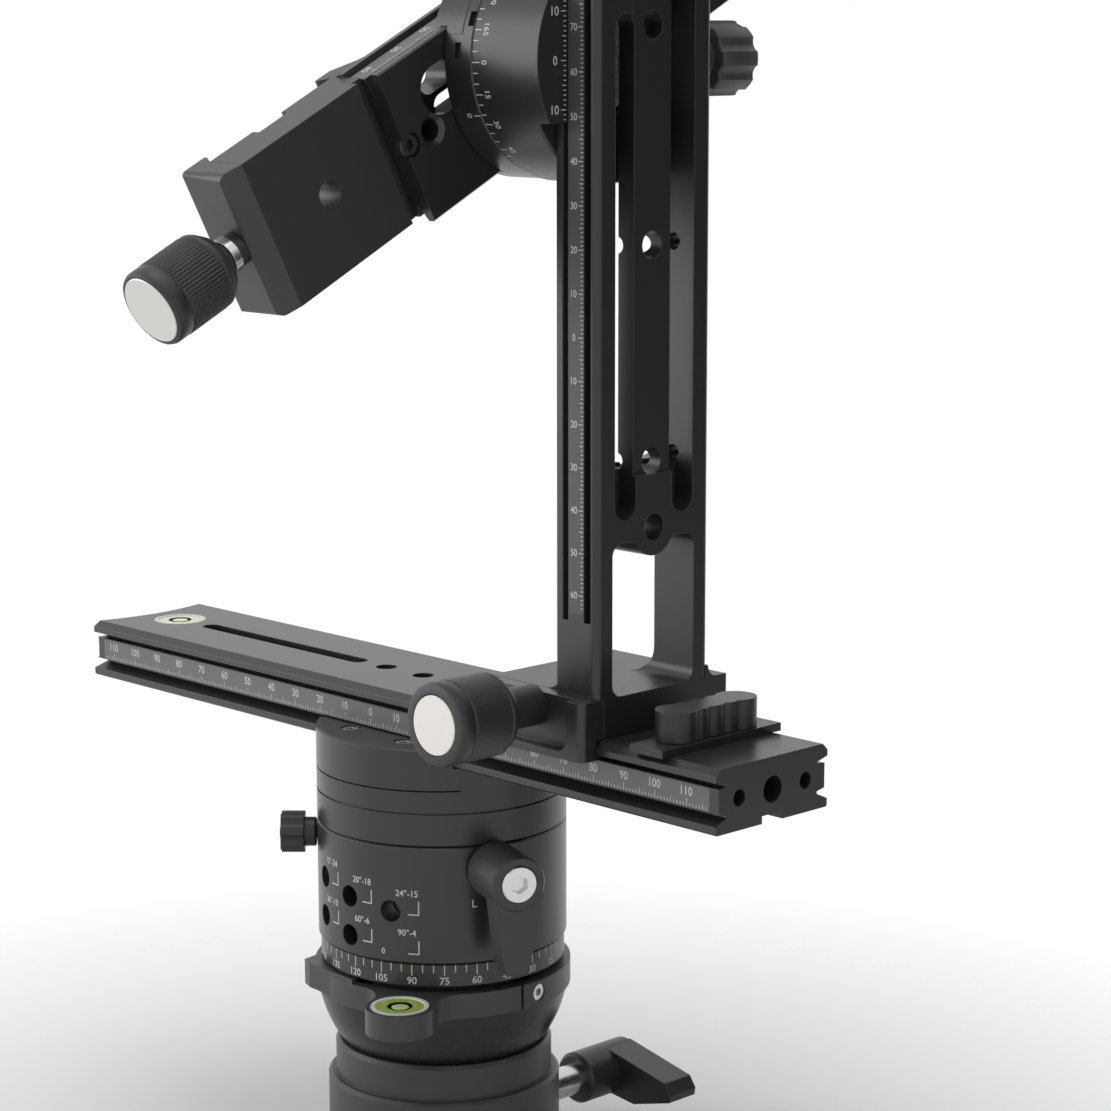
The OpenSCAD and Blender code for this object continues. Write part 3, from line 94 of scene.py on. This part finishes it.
WORN_BY = {
    "anodised": ["tilt_body", "tilt_jaw", "upright_bracket", "foot_jaw", "stop_plate"],
    "turned_black": ["index_body", "scale_plate", "pan_rotor", "rotor_jaw", "tilt_hub", "hub_jaw",
                     "arm_rail"],
    "ring_black_painted_highlight": ["platform_ring", "lock_lever"],
    "clamp_black": ["camera_clamp", "camera_jaw"],
    "base_black_painted_reflection": ["base_shell"],
    "ball_black_painted_shade": ["level_ball"],
    "satin_black": ["foot_knob", "camera_knob", "drag_knob", "clamp_bolt"],
    "rail_black": ["rail"],
    "plastic": ["base_lever", "stop_knob"],
    "dark_grey": ["tilt_knob"],
    "steel": ["lock_shaft", "draw_bolt", "ball_plate", "centre_stud", "ring_screw", "detent_drum",
              "spindle_bolt", "index_plunger", "lever_cap_screw", "rotor_jaw_screws",
              "hub_jaw_screws", "foot_guide_pins", "foot_screw", "tilt_screw", "hub_retainer",
              "camera_guide_pins", "camera_screw"],
    "brass": ["tripod_bush", "clamp_washer"],
    "cap": ["foot_knob_cap", "camera_knob_cap"],
    "strip": ["rail_scale", "arm_scale"],
    "upright_strip": ["upright_scale"],
    "white": ["ear_bubble_case", "rail_bubble_case"],
    "liquid": ["ear_bubble_glass"],
    "liquid_pale": ["rail_bubble_glass"],
}


def material(name, color, rough, metal=0.0, spec=0.5, noise=0.0, scale=900.0, bevel=0.0,
             coat=0.0, bump=0.0):
    """A procedural material. A fine grain varies its roughness by noise and its surface by bump,
    and edges look rounded by bevel mm."""
    made = bpy.data.materials.new(name)
    made.use_nodes = True
    tree = made.node_tree
    shader = tree.nodes["Principled BSDF"]
    shader.inputs["Base Color"].default_value = (*color, 1)
    shader.inputs["Roughness"].default_value = rough
    shader.inputs["Metallic"].default_value = metal
    shader.inputs["Specular IOR Level"].default_value = spec
    shader.inputs["Coat Weight"].default_value = coat
    shader.inputs["Coat Roughness"].default_value = COAT_ROUGHNESS
    if noise > 0 or bump > 0:
        coordinates = tree.nodes.new("ShaderNodeTexCoord")
        grain = tree.nodes.new("ShaderNodeTexNoise")
        grain.inputs["Scale"].default_value = scale
        grain.inputs["Detail"].default_value = GRAIN_DETAIL
        tree.links.new(coordinates.outputs["Object"], grain.inputs["Vector"])
    if noise > 0:
        spread = tree.nodes.new("ShaderNodeMapRange")
        spread.inputs["To Min"].default_value = rough - noise
        spread.inputs["To Max"].default_value = rough + noise
        tree.links.new(grain.outputs["Fac"], spread.inputs["Value"])
        tree.links.new(spread.outputs["Result"], shader.inputs["Roughness"])
    normal = None
    if bevel > 0:
        edge = tree.nodes.new("ShaderNodeBevel")
        edge.samples = BEVEL_SAMPLES
        edge.inputs["Radius"].default_value = bevel * MM
        normal = edge.outputs["Normal"]
    if bump > 0:
        pitting = tree.nodes.new("ShaderNodeBump")
        pitting.inputs["Strength"].default_value = bump
        pitting.inputs["Distance"].default_value = BUMP_DISTANCE
        tree.links.new(grain.outputs["Fac"], pitting.inputs["Height"])
        if normal is not None:
            tree.links.new(normal, pitting.inputs["Normal"])
        normal = pitting.outputs["Normal"]
    if normal is not None:
        tree.links.new(normal, shader.inputs["Normal"])
    return made


FINISH = {name: material(name, **settings) for name, settings in MATERIALS.items()}
for look, wearers in WORN_BY.items():
    for node in wearers:
        slots = nodes[node].data.materials
        slots.clear()
        slots.append(FINISH[look])


# ---- Mesh helpers --------------------------------------------------------------
TURNED_ANGLE = 35     # in degrees: an edge that bends less is shaded smooth
EXTRUDED_ANGLE = 50
ON_AXIS = 1e-6        # a radius below this closes a turned shape


def new_object(name, verts, faces, mat, body, smooth_angle=None):
    """A mesh that rides on a body, flat shaded where it has no smooth_angle."""
    mesh = bpy.data.meshes.new(name)
    mesh.from_pydata([tuple(v) for v in verts], [], faces)
    mesh.update()
    piece = bpy.data.objects.new(name, mesh)
    scene.collection.objects.link(piece)
    mesh.materials.append(FINISH[mat])
    if smooth_angle is not None:
        for face in mesh.polygons:
            face.use_smooth = True
        mesh.set_sharp_from_angle(angle=math.radians(smooth_angle))
    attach(piece, body)
    return piece


def place_along(origin, axis):
    """A matrix at origin (mm) whose +Z is axis and whose +X lies as near up as it can."""
    z = Vector(axis).normalized()
    up = Vector((0, 0, 1))
    if abs(up.dot(z)) > 0.99:
        up = Vector((1, 0, 0))
    x = (up - z * up.dot(z)).normalized()
    matrix = Matrix((x, z.cross(x), z)).transposed().to_4x4()
    matrix.translation = Vector(origin)
    return matrix


def lathe(name, profile, matrix, mat, body, steps=96, relief=None):
    """Turns a (radius, height) profile in mm round the matrix's +Z. relief(i, j, radius) gives
    the radius of profile point i at step j."""
    verts, faces = [], []
    n = len(profile)
    for j in range(steps):
        a = 2 * math.pi * j / steps
        for i, (r, h) in enumerate(profile):
            cut = relief(i, j, r) if relief else r
            verts.append((matrix @ Vector((cut * math.cos(a), cut * math.sin(a), h))) * MM)
    for j in range(steps):
        k = (j + 1) % steps
        for i in range(n - 1):
            faces.append((j * n + i, k * n + i, k * n + i + 1, j * n + i + 1))
    if profile[0][0] > ON_AXIS:
        faces.append(tuple(j * n for j in range(steps))[::-1])
    if profile[-1][0] > ON_AXIS:
        faces.append(tuple(j * n + n - 1 for j in range(steps)))
    return new_object(name, verts, faces, mat, body, TURNED_ANGLE)


def extruded(name, outline, h0, h1, bevel, matrix, mat, body):
    """An anticlockwise outline in mm, raised from h0 to h1 with rims rounded by bevel."""
    knee = 0.35
    levels = [(h0, 1.0), (h0 + bevel * knee, knee), (h0 + bevel, 0.0),
              (h1 - bevel, 0.0), (h1 - bevel * knee, knee), (h1, 1.0)]
    n = len(outline)
    normals = []
    for i in range(n):
        along = (Vector(outline[(i + 1) % n]) - Vector(outline[i - 1])).normalized()
        normals.append(Vector((along.y, -along.x)))
    verts, faces = [], []
    for h, inset in levels:
        for i in range(n):
            p = Vector(outline[i]) - normals[i] * bevel * inset
            verts.append((matrix @ Vector((p.x, p.y, h))) * MM)
    for level in range(len(levels) - 1):
        for i in range(n):
            j = (i + 1) % n
            faces.append((level * n + i, level * n + j, (level + 1) * n + j, (level + 1) * n + i))
    faces.append(tuple(range(n))[::-1])
    faces.append(tuple(range((len(levels) - 1) * n, len(levels) * n)))
    return new_object(name, verts, faces, mat, body, EXTRUDED_ANGLE)


def scalloped_disc(r, count, scallop_r, depth):
    """The outline of a disc of radius r with count round scallops cut depth deep into its edge."""
    points_per_arc = 14
    d = r + scallop_r - depth
    # half the angle, seen from the disc's middle, that one scallop takes from the rim
    half = math.acos((d * d + r * r - scallop_r * scallop_r) / (2 * d * r))
    outline = []
    for i in range(count):
        mid = 2 * math.pi * (i + 0.5) / count
        start, stop = 2 * math.pi * (i - 0.5) / count + half, mid - half
        for k in range(points_per_arc):
            a = start + (stop - start) * k / (points_per_arc - 1)
            outline.append((r * math.cos(a), r * math.sin(a)))
        cx, cy = d * math.cos(mid), d * math.sin(mid)
        a0 = math.atan2(r * math.sin(mid - half) - cy, r * math.cos(mid - half) - cx)
        a1 = math.atan2(r * math.sin(mid + half) - cy, r * math.cos(mid + half) - cx)
        while a1 > a0:
            a1 -= 2 * math.pi
        for k in range(1, points_per_arc - 1):
            a = a0 + (a1 - a0) * k / (points_per_arc - 1)
            outline.append((cx + scallop_r * math.cos(a), cy + scallop_r * math.sin(a)))
    return outline


def middle(node, axis):
    return (lo[node][axis] + hi[node][axis]) / 2


# ---- Printed marks ---------------------------------------------------------------
LIFT = 0.035          # height of the print over its surface, in mm
NARROW = 0.95         # width of most numerals against their plain width
GLYPH_STEPS = 3
GLYPH_WEIGHT = 0.012
glyph_cache = {}


def glyph(text, size):
    """A short text as a flat mesh, size mm high and centred on the origin: (points, faces)."""
    if text not in glyph_cache:
        curve = bpy.data.curves.new("glyph", "FONT")
        curve.body = text
        curve.size = 1.0
        curve.align_x = "CENTER"
        curve.align_y = "CENTER"
        curve.resolution_u = GLYPH_STEPS
        curve.offset = GLYPH_WEIGHT
        holder = bpy.data.objects.new("glyph", curve)
        scene.collection.objects.link(holder)
        bpy.context.view_layer.update()
        graph = bpy.context.evaluated_depsgraph_get()
        mesh = bpy.data.meshes.new_from_object(holder.evaluated_get(graph))
        xs = [v.co.x for v in mesh.vertices]
        ys = [v.co.y for v in mesh.vertices]
        faces = [tuple(face.vertices) for face in mesh.polygons]
        bpy.data.objects.remove(holder)
        bpy.data.curves.remove(curve)
        bpy.data.meshes.remove(mesh)
        height = max(ys) - min(ys)
        cx, cy = (max(xs) + min(xs)) / 2, (max(ys) + min(ys)) / 2
        glyph_cache[text] = ([((x - cx) / height, (y - cy) / height) for x, y in zip(xs, ys)], faces)
    points, faces = glyph_cache[text]
    return [(x * size, y * size) for x, y in points], faces


class Print:
    """Marks on one surface, gathered into one mesh. put(s, t) gives the point in mm."""

    def __init__(self, name, put, body):
        self.name, self.put, self.body = name, put, body
        self.verts, self.faces = [], []

    def add(self, points, faces):
        first = len(self.verts)
        self.verts += [Vector(self.put(s, t)) * MM for s, t in points]
        self.faces += [tuple(first + i for i in face) for face in faces]

    def text(self, word, s, t, size, wide=1.0):
        """A word of that height centred on s, t."""
        points, faces = glyph(word, size)
        self.add([(s + wide * x, t + y) for x, y in points], faces)

    def bar(self, s0, t0, s1, t1, parts=1):
        """A rectangle, in parts along s where the surface is round."""
        points, faces = [], []
        for i in range(parts + 1):
            s = s0 + (s1 - s0) * i / parts
            points += [(s, t0), (s, t1)]
            if i:
                a = 2 * i
                faces.append((a - 2, a, a + 1, a - 1))
        self.add(points, faces)

    def done(self):
        new_object(self.name, self.verts, self.faces, "print", self.body)


def tick(k, lengths):
    """The length of tick k: the first at every ten, the second at a five, the third elsewhere."""
    return lengths[0] if k % 10 == 0 else lengths[1] if k % 5 == 0 else lengths[2]


def arc(r, degrees):
    """How far degrees reach along an arc of radius r."""
    return math.radians(degrees) * r


def round_upright(r):
    """A surface of radius r round +Z: s runs along the arc, t is the height."""
    return lambda s, t: (r * math.cos(s / r), r * math.sin(s / r), t)


# The arm's frame: it hangs from the tilt axis, turned down towards the camera knob
TILT_Z = 291.3
ARM_SEAT_X = 33.98
ARM_SLOPE = 27
ARM_ANGLE = math.radians(ARM_SLOPE)
ARM_DIR = Vector((0, -math.cos(ARM_ANGLE), -math.sin(ARM_ANGLE)))
ARM_UP = Vector((0, -math.sin(ARM_ANGLE), math.cos(ARM_ANGLE)))


def round_level(r):
    """A surface of radius r round the tilt axis: s runs along the arc, t along +X."""
    return lambda s, t: (t, r * math.cos(s / r), TILT_Z + r * math.sin(s / r))


def arm_point(a, v, b):
    """a along the arm, v out from its seat on the hub, b across it, in mm."""
    return Vector((ARM_SEAT_X - v, 0, TILT_Z)) + ARM_DIR * a + ARM_UP * b


# Millimetre scales of the rail and the arm, and the finer one of the upright
HALF_TICK = 0.10
WIDE_TICKS = (1.75, 1.35, 0.8)
WIDE_NUMERAL = 2.1
UPRIGHT_TICKS = (1.5, 1.2, 0.75)
UPRIGHT_NUMERAL = 1.7
RAIL_ZERO_X = -6.6
UPRIGHT_ZERO_Z = 228.8
ARM_FACE = 18.0
ARM_FIRST, ARM_LAST = -92, 41
ARM_TICK_FOOT, ARM_NUMERAL_LINE = 5.1, 8.7


def rail_marks():
    strip_lo, strip_hi = lo["rail_scale"], hi["rail_scale"]
    foot, numeral_line = strip_lo[2] + 0.15, strip_hi[2] - 1.75
    first = math.ceil(strip_lo[0] - RAIL_ZERO_X + 1.2)
    last = math.floor(strip_hi[0] - RAIL_ZERO_X - 0.6)
    marks = Print("rail_marks", lambda s, t: (s, strip_lo[1] - LIFT, t), "rail")
    for k in range(first, last + 1):
        x = RAIL_ZERO_X + k
        marks.bar(x - HALF_TICK, foot, x + HALF_TICK, foot + tick(k, WIDE_TICKS))
        # the numerals stay clear of the strip's ends
        if k % 10 == 0 and first + 2 < k < last - 1:
            marks.text(str(abs(k)), x, numeral_line, WIDE_NUMERAL, NARROW)
    marks.done()


def upright_marks():
    strip_lo, strip_hi = lo["upright_scale"], hi["upright_scale"]
    foot, numeral_line = strip_hi[0] - 0.05, strip_lo[0] + 1.75
    first = math.ceil(strip_lo[2] - UPRIGHT_ZERO_Z + 1)
    last = math.floor(strip_hi[2] - UPRIGHT_ZERO_Z - 1)
    marks = Print("upright_marks", lambda s, t: (s, strip_lo[1] - LIFT, t), "carriage")
    for k in range(first, last + 1):
        z = UPRIGHT_ZERO_Z + k
        marks.bar(foot - tick(k, UPRIGHT_TICKS), z - HALF_TICK, foot, z + HALF_TICK)
        if k % 10 == 0:
            marks.text(str(abs(k)), numeral_line, z, UPRIGHT_NUMERAL, NARROW)
    marks.done()


def arm_marks():
    marks = Print("arm_marks", lambda s, t: arm_point(s, t, ARM_FACE + LIFT), "arm")
    for k in range(ARM_FIRST, ARM_LAST + 1):
        marks.bar(k - HALF_TICK, ARM_TICK_FOOT, k + HALF_TICK, ARM_TICK_FOOT + tick(k, WIDE_TICKS))
        if k % 10 == 0:
            marks.text(str(abs(k)), k, ARM_NUMERAL_LINE, WIDE_NUMERAL, NARROW)
    marks.done()


# Degree dial below the index body: a tick every 5 degrees, a numeral every 15
DIAL_R = 31.4 + LIFT
DIAL_BELOW_DRUM = 19.3
DIAL_ZERO = 33.8
DIAL_STEP, DIAL_NUMERAL_STEP = 5, 15
drum_top = hi["detent_drum"][2]


def dial_marks():
    half, long_tick, short_tick, numeral = 0.13, 2.7, 1.9, 1.9
    top = drum_top - DIAL_BELOW_DRUM
    tick_top, numeral_line = top - 0.25, top - 4.3
    marks = Print("dial_marks", round_upright(DIAL_R), "level")
    for v in range(0, 360, DIAL_STEP):
        s = arc(DIAL_R, DIAL_ZERO - v)
        numbered = v % DIAL_NUMERAL_STEP == 0
        marks.bar(s - half, tick_top - (long_tick if numbered else short_tick), s + half, tick_top)
        if numbered:
            marks.text(str(min(v, 360 - v)), s, numeral_line, numeral)
    marks.done()


# Labels of the index holes: each column's angle, drop below the drum's top and two labels
INDEX_R = 32.0 + LIFT
INDEX_COLUMNS = [(-110.0, 1.8, ("15°-24", "36°-10")),
                 (-88.6, 4.1, ("20°-18", "60°-6")),
                 (-65.7, 5.9, ("24°-15", "90°-4"))]
INDEX_ROW_STEP = 10.1
LOCK_LETTER = ("L", -27.5, 84.9, 2.0)
ZERO_NUMERAL = ("0", -69.5, 72.2, 1.5)


def index_marks():
    label, line = 1.75, 0.3
    label_right, label_rise = 4.3, 4.9
    corner_left, corner_right, corner_drop, corner_rise = 4.6, 7.2, 0.7, 2.9
    marks = Print("index_marks", round_upright(INDEX_R), "index")
    for phi, drop, words in INDEX_COLUMNS:
        for row, word in enumerate(words):
            z = drum_top - drop - INDEX_ROW_STEP * row
            s = arc(INDEX_R, phi)
            marks.text(word, s + label_right, z + label_rise, label, NARROW)
            # the angle drawn at the lower right of each hole
            marks.bar(s + corner_right, z - corner_drop, s + corner_right + line, z + corner_rise)
            marks.bar(s + corner_left, z - corner_drop, s + corner_right, z - corner_drop + line, 3)
    for word, phi, z, size in (LOCK_LETTER, ZERO_NUMERAL):
        marks.text(word, arc(INDEX_R, phi), z, size)
    marks.done()


# Degree scale round the tilt rotator: a tick every 5 degrees, a numeral every 15
TILT_R = 28.4 + LIFT
TILT_SCALE_START = -179.0
TILT_SCALE_STEP = 5
TILT_FIRST, TILT_LAST = -18, 53
TILT_BLANK = 34       # degrees each side of the flat under the knob's collar that bear no marks


def tilt_marks():
    half, long_tick, short_tick, numeral = 0.12, 2.4, 1.6, 1.7
    edge = lo["tilt_body"][0]
    foot, numeral_line = edge + 0.5, edge + 4.4
    marks = Print("tilt_marks", round_level(TILT_R), "height_clamp")
    for i in range(TILT_FIRST, TILT_LAST + 1):
        angle = TILT_SCALE_START + TILT_SCALE_STEP * i
        if abs(((angle + 180) % 360) - 180) < TILT_BLANK:
            continue
        s = arc(TILT_R, angle)
        numbered = i % 3 == 0
        marks.bar(s - half, foot, s + half, foot + (long_tick if numbered else short_tick))
        if numbered:
            marks.text(str((TILT_SCALE_STEP * i) % 180), s, numeral_line, numeral, NARROW)
    marks.done()


def vernier_marks():
    """The vernier on the lip that grips the upright."""
    half, pitch, numeral = 0.12, 1.1, 2.1
    tick_edge, numeral_line = -19.45, -22.9
    marks = Print("vernier_marks", lambda s, t: (hi["tilt_body"][0] + LIFT, s, t), "height_clamp")
    for k in range(-12, 13):
        z = TILT_Z + k * pitch
        marks.bar(tick_edge - tick(k, (1.6, 1.2, 0.8)), z - half, tick_edge, z + half)
    for k in (-10, 0, 10):
        marks.text(str(abs(k)), numeral_line, TILT_Z + k * pitch, numeral)
    marks.done()


def hub_marks():
    """The index mark on the turning hub, in line with the arm."""
    r = 28.0 + LIFT
    half, foot, tip, numeral_line, numeral = 0.15, 41.2, 43.2, 39.6, 1.7
    marks = Print("hub_marks", round_level(r), "tilt_hub")
    s = arc(r, 180 + ARM_SLOPE)
    marks.bar(s - half, foot, s + half, tip)
    marks.text("0", s, numeral_line, numeral)
    marks.done()


rail_marks()
upright_marks()
arm_marks()
dial_marks()
index_marks()
tilt_marks()
vernier_marks()
hub_marks()


# ---- Knobs --------------------------------------------------------------------
# The edge of a clamp knob: (inset from its radius, distance from its back), and from its front
KNOB_BACK = [(3.0, 0.0), (2.3, 0.25), (0.5, 2.4), (0.1, 3.2), (0.1, 4.0), (0.3, 4.3), (0.0, 4.6)]
KNOB_FRONT = [(0.0, 4.6), (0.3, 4.3), (0.1, 4.0), (0.1, 1.0), (0.4, 0.3), (1.1, 0.0)]
KNURL_TEETH = 64
STEPS_PER_TOOTH = 4
CAP_SINK = 0.8
CAP_THICK = 1.0


def knurled_knob(name, matrix, d, length, collar_r, collar_h, cap_d, knurl, node):
    """A clamp knob on a thin collar: a straight knurl between two plain bands, and a seat for
    the cap. It replaces the node, and rides on the body of the same name."""
    r, cap_r, top = d / 2, cap_d / 2, collar_h + length
    collar = [(0, 0), (collar_r, 0), (collar_r, collar_h)]
    back = [(r - inset, collar_h + h) for inset, h in KNOB_BACK]
    front = [(r - inset, top - h) for inset, h in KNOB_FRONT]
    seat = [(cap_r + 0.2, top), (cap_r + 0.15, top - CAP_SINK), (0, top - CAP_SINK)]
    band_start = len(collar) + len(back) - 1

    def relief(i, j, radius):
        in_groove = i in (band_start, band_start + 1) and j % STEPS_PER_TOOTH in (0, 3)
        return radius - knurl if in_groove else radius

    piece = lathe(name, collar + back + front + seat, matrix, "satin_black", node,
                  KNURL_TEETH * STEPS_PER_TOOTH, relief)
    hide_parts(node)


def foot_knob():
    x, cap_d = 56.0, 14.2
    cap_r, z = cap_d / 2, middle("foot_knob", 2)
    forward = (0, -1, 0)
    knurled_knob("foot_knob_body", place_along((x, hi["foot_knob"][1], z), forward),
                 d=20.0, length=20.0, collar_r=5.0, collar_h=11.3, cap_d=cap_d, knurl=0.03,
                 node="foot_knob")
    cap = [(0, 0), (cap_r, 0), (cap_r, CAP_THICK - 0.2), (cap_r - 0.2, CAP_THICK), (0, CAP_THICK)]
    piece = lathe("foot_knob_face", cap, place_along((x, hi["foot_knob_cap"][1], z), forward),
                  "cap", "foot_knob")
    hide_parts("foot_knob_cap")


def camera_knob():
    arm_end, screw_v = 90.7, 10.58
    knurled_knob("camera_knob_body", place_along(arm_point(arm_end + 0.1, screw_v, 0), ARM_DIR),
                 d=18.6, length=20.3, collar_r=4.0, collar_h=6.9, cap_d=16.0, knurl=0.2,
                 node="camera_knob")
    lathe("camera_knob_ring", [(4.02, 0), (4.5, 0.3), (4.5, 2.4), (4.02, 2.7)],
          place_along(arm_point(arm_end + 2.4, screw_v, 0), ARM_DIR), "steel", "camera_knob", 48)


def tilt_knob():
    """The scalloped knob behind the upright, and its collar."""
    matrix = place_along((middle("tilt_knob", 0), lo["tilt_knob"][1], middle("tilt_knob", 2)),
                         (0, 1, 0))
    piece = extruded("tilt_knob_body", scalloped_disc(r=9.0, count=8, scallop_r=2.6, depth=0.9),
                     h0=5, h1=17.5, bevel=0.6, matrix=matrix, mat="dark_grey", body="tilt_knob")
    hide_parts("tilt_knob")
    lathe("tilt_knob_collar", [(0, 0), (5.8, 0), (6, 0.3), (6, 5.4)], matrix, "dark_grey",
          "tilt_knob", 64)


foot_knob()
camera_knob()
tilt_knob()


# ---- Round levels ---------------------------------------------------------------
def level_marks(stem, body):
    """The rim of a round level, and the ring and the bubble under its glass."""
    case = stem + "_case"
    x, y, top = middle(case, 0), middle(case, 1), hi[case][2]
    bubble_dx, bubble_dy = 0.5, -0.3
    rim = [(6.0, top - 0.25), (7.0, top - 0.25), (7.2, top - 0.05), (6.2, top), (6.0, top - 0.25)]
    ring = [(2.95, top - 0.16), (3.1, top - 0.12), (3.25, top - 0.16)]
    bubble = [(2.3, top - 0.2), (2.0, top - 0.12), (1.2, top - 0.08), (0, top - 0.06)]
    centre = place_along((x, y, 0), (0, 0, 1))
    beside = place_along((x + bubble_dx, y + bubble_dy, 0), (0, 0, 1))
    lathe(stem + "_rim", rim, centre, "white", body, 72)
    lathe(stem + "_ring", ring, centre, "ink", body, 72)
    lathe(stem + "_bubble", bubble, beside, "bubble", body, 48)


level_marks("ear_bubble", "level")
level_marks("rail_bubble", "rail")


# ---- Floor, light and camera, in metres --------------------------------------------
FLOOR_SIZE = 1.2
FLOOR_DROP = 0.0002
FLOOR_FADE = (0.08, 0.28)
WORLD_LEVEL = 0.45
AIM = (0.0, 0.0, 0.2)
# name, place, size and power
LAMPS = [("front_left", (-1.1, -1.0, 0.5), 1.0, 8.0),
         ("top", (0.0, -0.15, 1.5), 0.8, 4.0)]
CARD_SIZE = 1.5
CARD_PLACE = (1.0, 1.1, 0.45)
CARD_AIM = (0.0, 0.0, 0.25)
CAMERA_PLACE = (0.55046, -0.49155, 0.29849)
CAMERA_DEGREES = (79.891, 0.076, 45.948)
CAMERA_LENS = 95.84
CAMERA_SENSOR = 36.0
CAMERA_CLIP = (0.05, 30.0)


def aim(thing, place, target):
    thing.location = place
    thing.rotation_euler = (Vector(target) - Vector(place)).to_track_quat("-Z", "Y").to_euler()


def sheet(name, size, mat):
    """A flat square stage sheet round its own origin."""
    mesh = bpy.data.meshes.new(name)
    h = size / 2
    mesh.from_pydata([(-h, -h, 0), (h, -h, 0), (h, h, 0), (-h, h, 0)], [], [(0, 1, 2, 3)])
    mesh.materials.append(mat)
    piece = bpy.data.objects.new(name, mesh)
    scene.collection.objects.link(piece)
    return piece


def pale_floor():
    """A floor that keeps the shadow and fades into the white behind it."""
    mat = material("floor", (0.93, 0.93, 0.93), 0.8, spec=0.2)
    tree = mat.node_tree
    coordinates = tree.nodes.new("ShaderNodeTexCoord")
    distance = tree.nodes.new("ShaderNodeVectorMath")
    distance.operation = "LENGTH"
    fade = tree.nodes.new("ShaderNodeMapRange")
    fade.inputs["From Min"].default_value = FLOOR_FADE[0]
    fade.inputs["From Max"].default_value = FLOOR_FADE[1]
    clear = tree.nodes.new("ShaderNodeBsdfTransparent")
    blend = tree.nodes.new("ShaderNodeMixShader")
    tree.links.new(coordinates.outputs["Object"], distance.inputs[0])
    tree.links.new(distance.outputs["Value"], fade.inputs["Value"])
    tree.links.new(fade.outputs["Result"], blend.inputs["Fac"])
    tree.links.new(tree.nodes["Principled BSDF"].outputs["BSDF"], blend.inputs[1])
    tree.links.new(clear.outputs["BSDF"], blend.inputs[2])
    tree.links.new(blend.outputs["Shader"], tree.nodes["Material Output"].inputs["Surface"])
    floor = sheet("floor", FLOOR_SIZE, mat)
    floor.location = (0, 0, -FLOOR_DROP)


def white_world():
    """White to the eye, to metal and to glass, and a plain level to everything else."""
    world = bpy.data.worlds.new("studio")
    scene.world = world
    world.use_nodes = True
    tree = world.node_tree
    background = tree.nodes["Background"]
    background.inputs["Color"].default_value = (1, 1, 1, 1)
    path = tree.nodes.new("ShaderNodeLightPath")
    seen = path.outputs["Is Camera Ray"]
    for ray in ("Is Glossy Ray", "Is Transmission Ray"):
        either = tree.nodes.new("ShaderNodeMath")
        either.operation = "MAXIMUM"
        tree.links.new(seen, either.inputs[0])
        tree.links.new(path.outputs[ray], either.inputs[1])
        seen = either.outputs[0]
    level = tree.nodes.new("ShaderNodeMapRange")
    level.inputs["To Min"].default_value = WORLD_LEVEL
    level.inputs["To Max"].default_value = 1.0
    tree.links.new(seen, level.inputs["Value"])
    tree.links.new(level.outputs["Result"], background.inputs["Strength"])


def lamp(name, place, size, power):
    light = bpy.data.lights.new(name, "AREA")
    light.energy = power
    light.size = size
    holder = bpy.data.objects.new(name, light)
    scene.collection.objects.link(holder)
    aim(holder, place, AIM)


def dark_card():
    """A card beside the set, which keeps the faces towards the right dark."""
    card = sheet("card", CARD_SIZE, material("card", (0.01, 0.01, 0.01), 0.9, spec=0.0))
    aim(card, CARD_PLACE, CARD_AIM)
    card.visible_camera = False
    card.visible_shadow = False


def photo_camera():
    """The camera of the photograph."""
    data = bpy.data.cameras.new("camera")
    data.lens = CAMERA_LENS
    data.sensor_width = CAMERA_SENSOR
    data.clip_start, data.clip_end = CAMERA_CLIP
    camera = bpy.data.objects.new("camera", data)
    camera.location = CAMERA_PLACE
    camera.rotation_euler = [math.radians(d) for d in CAMERA_DEGREES]
    scene.collection.objects.link(camera)
    scene.camera = camera


pale_floor()
white_world()
for settings in LAMPS:
    lamp(*settings)
dark_card()
photo_camera()
scene.view_settings.view_transform = "Standard"
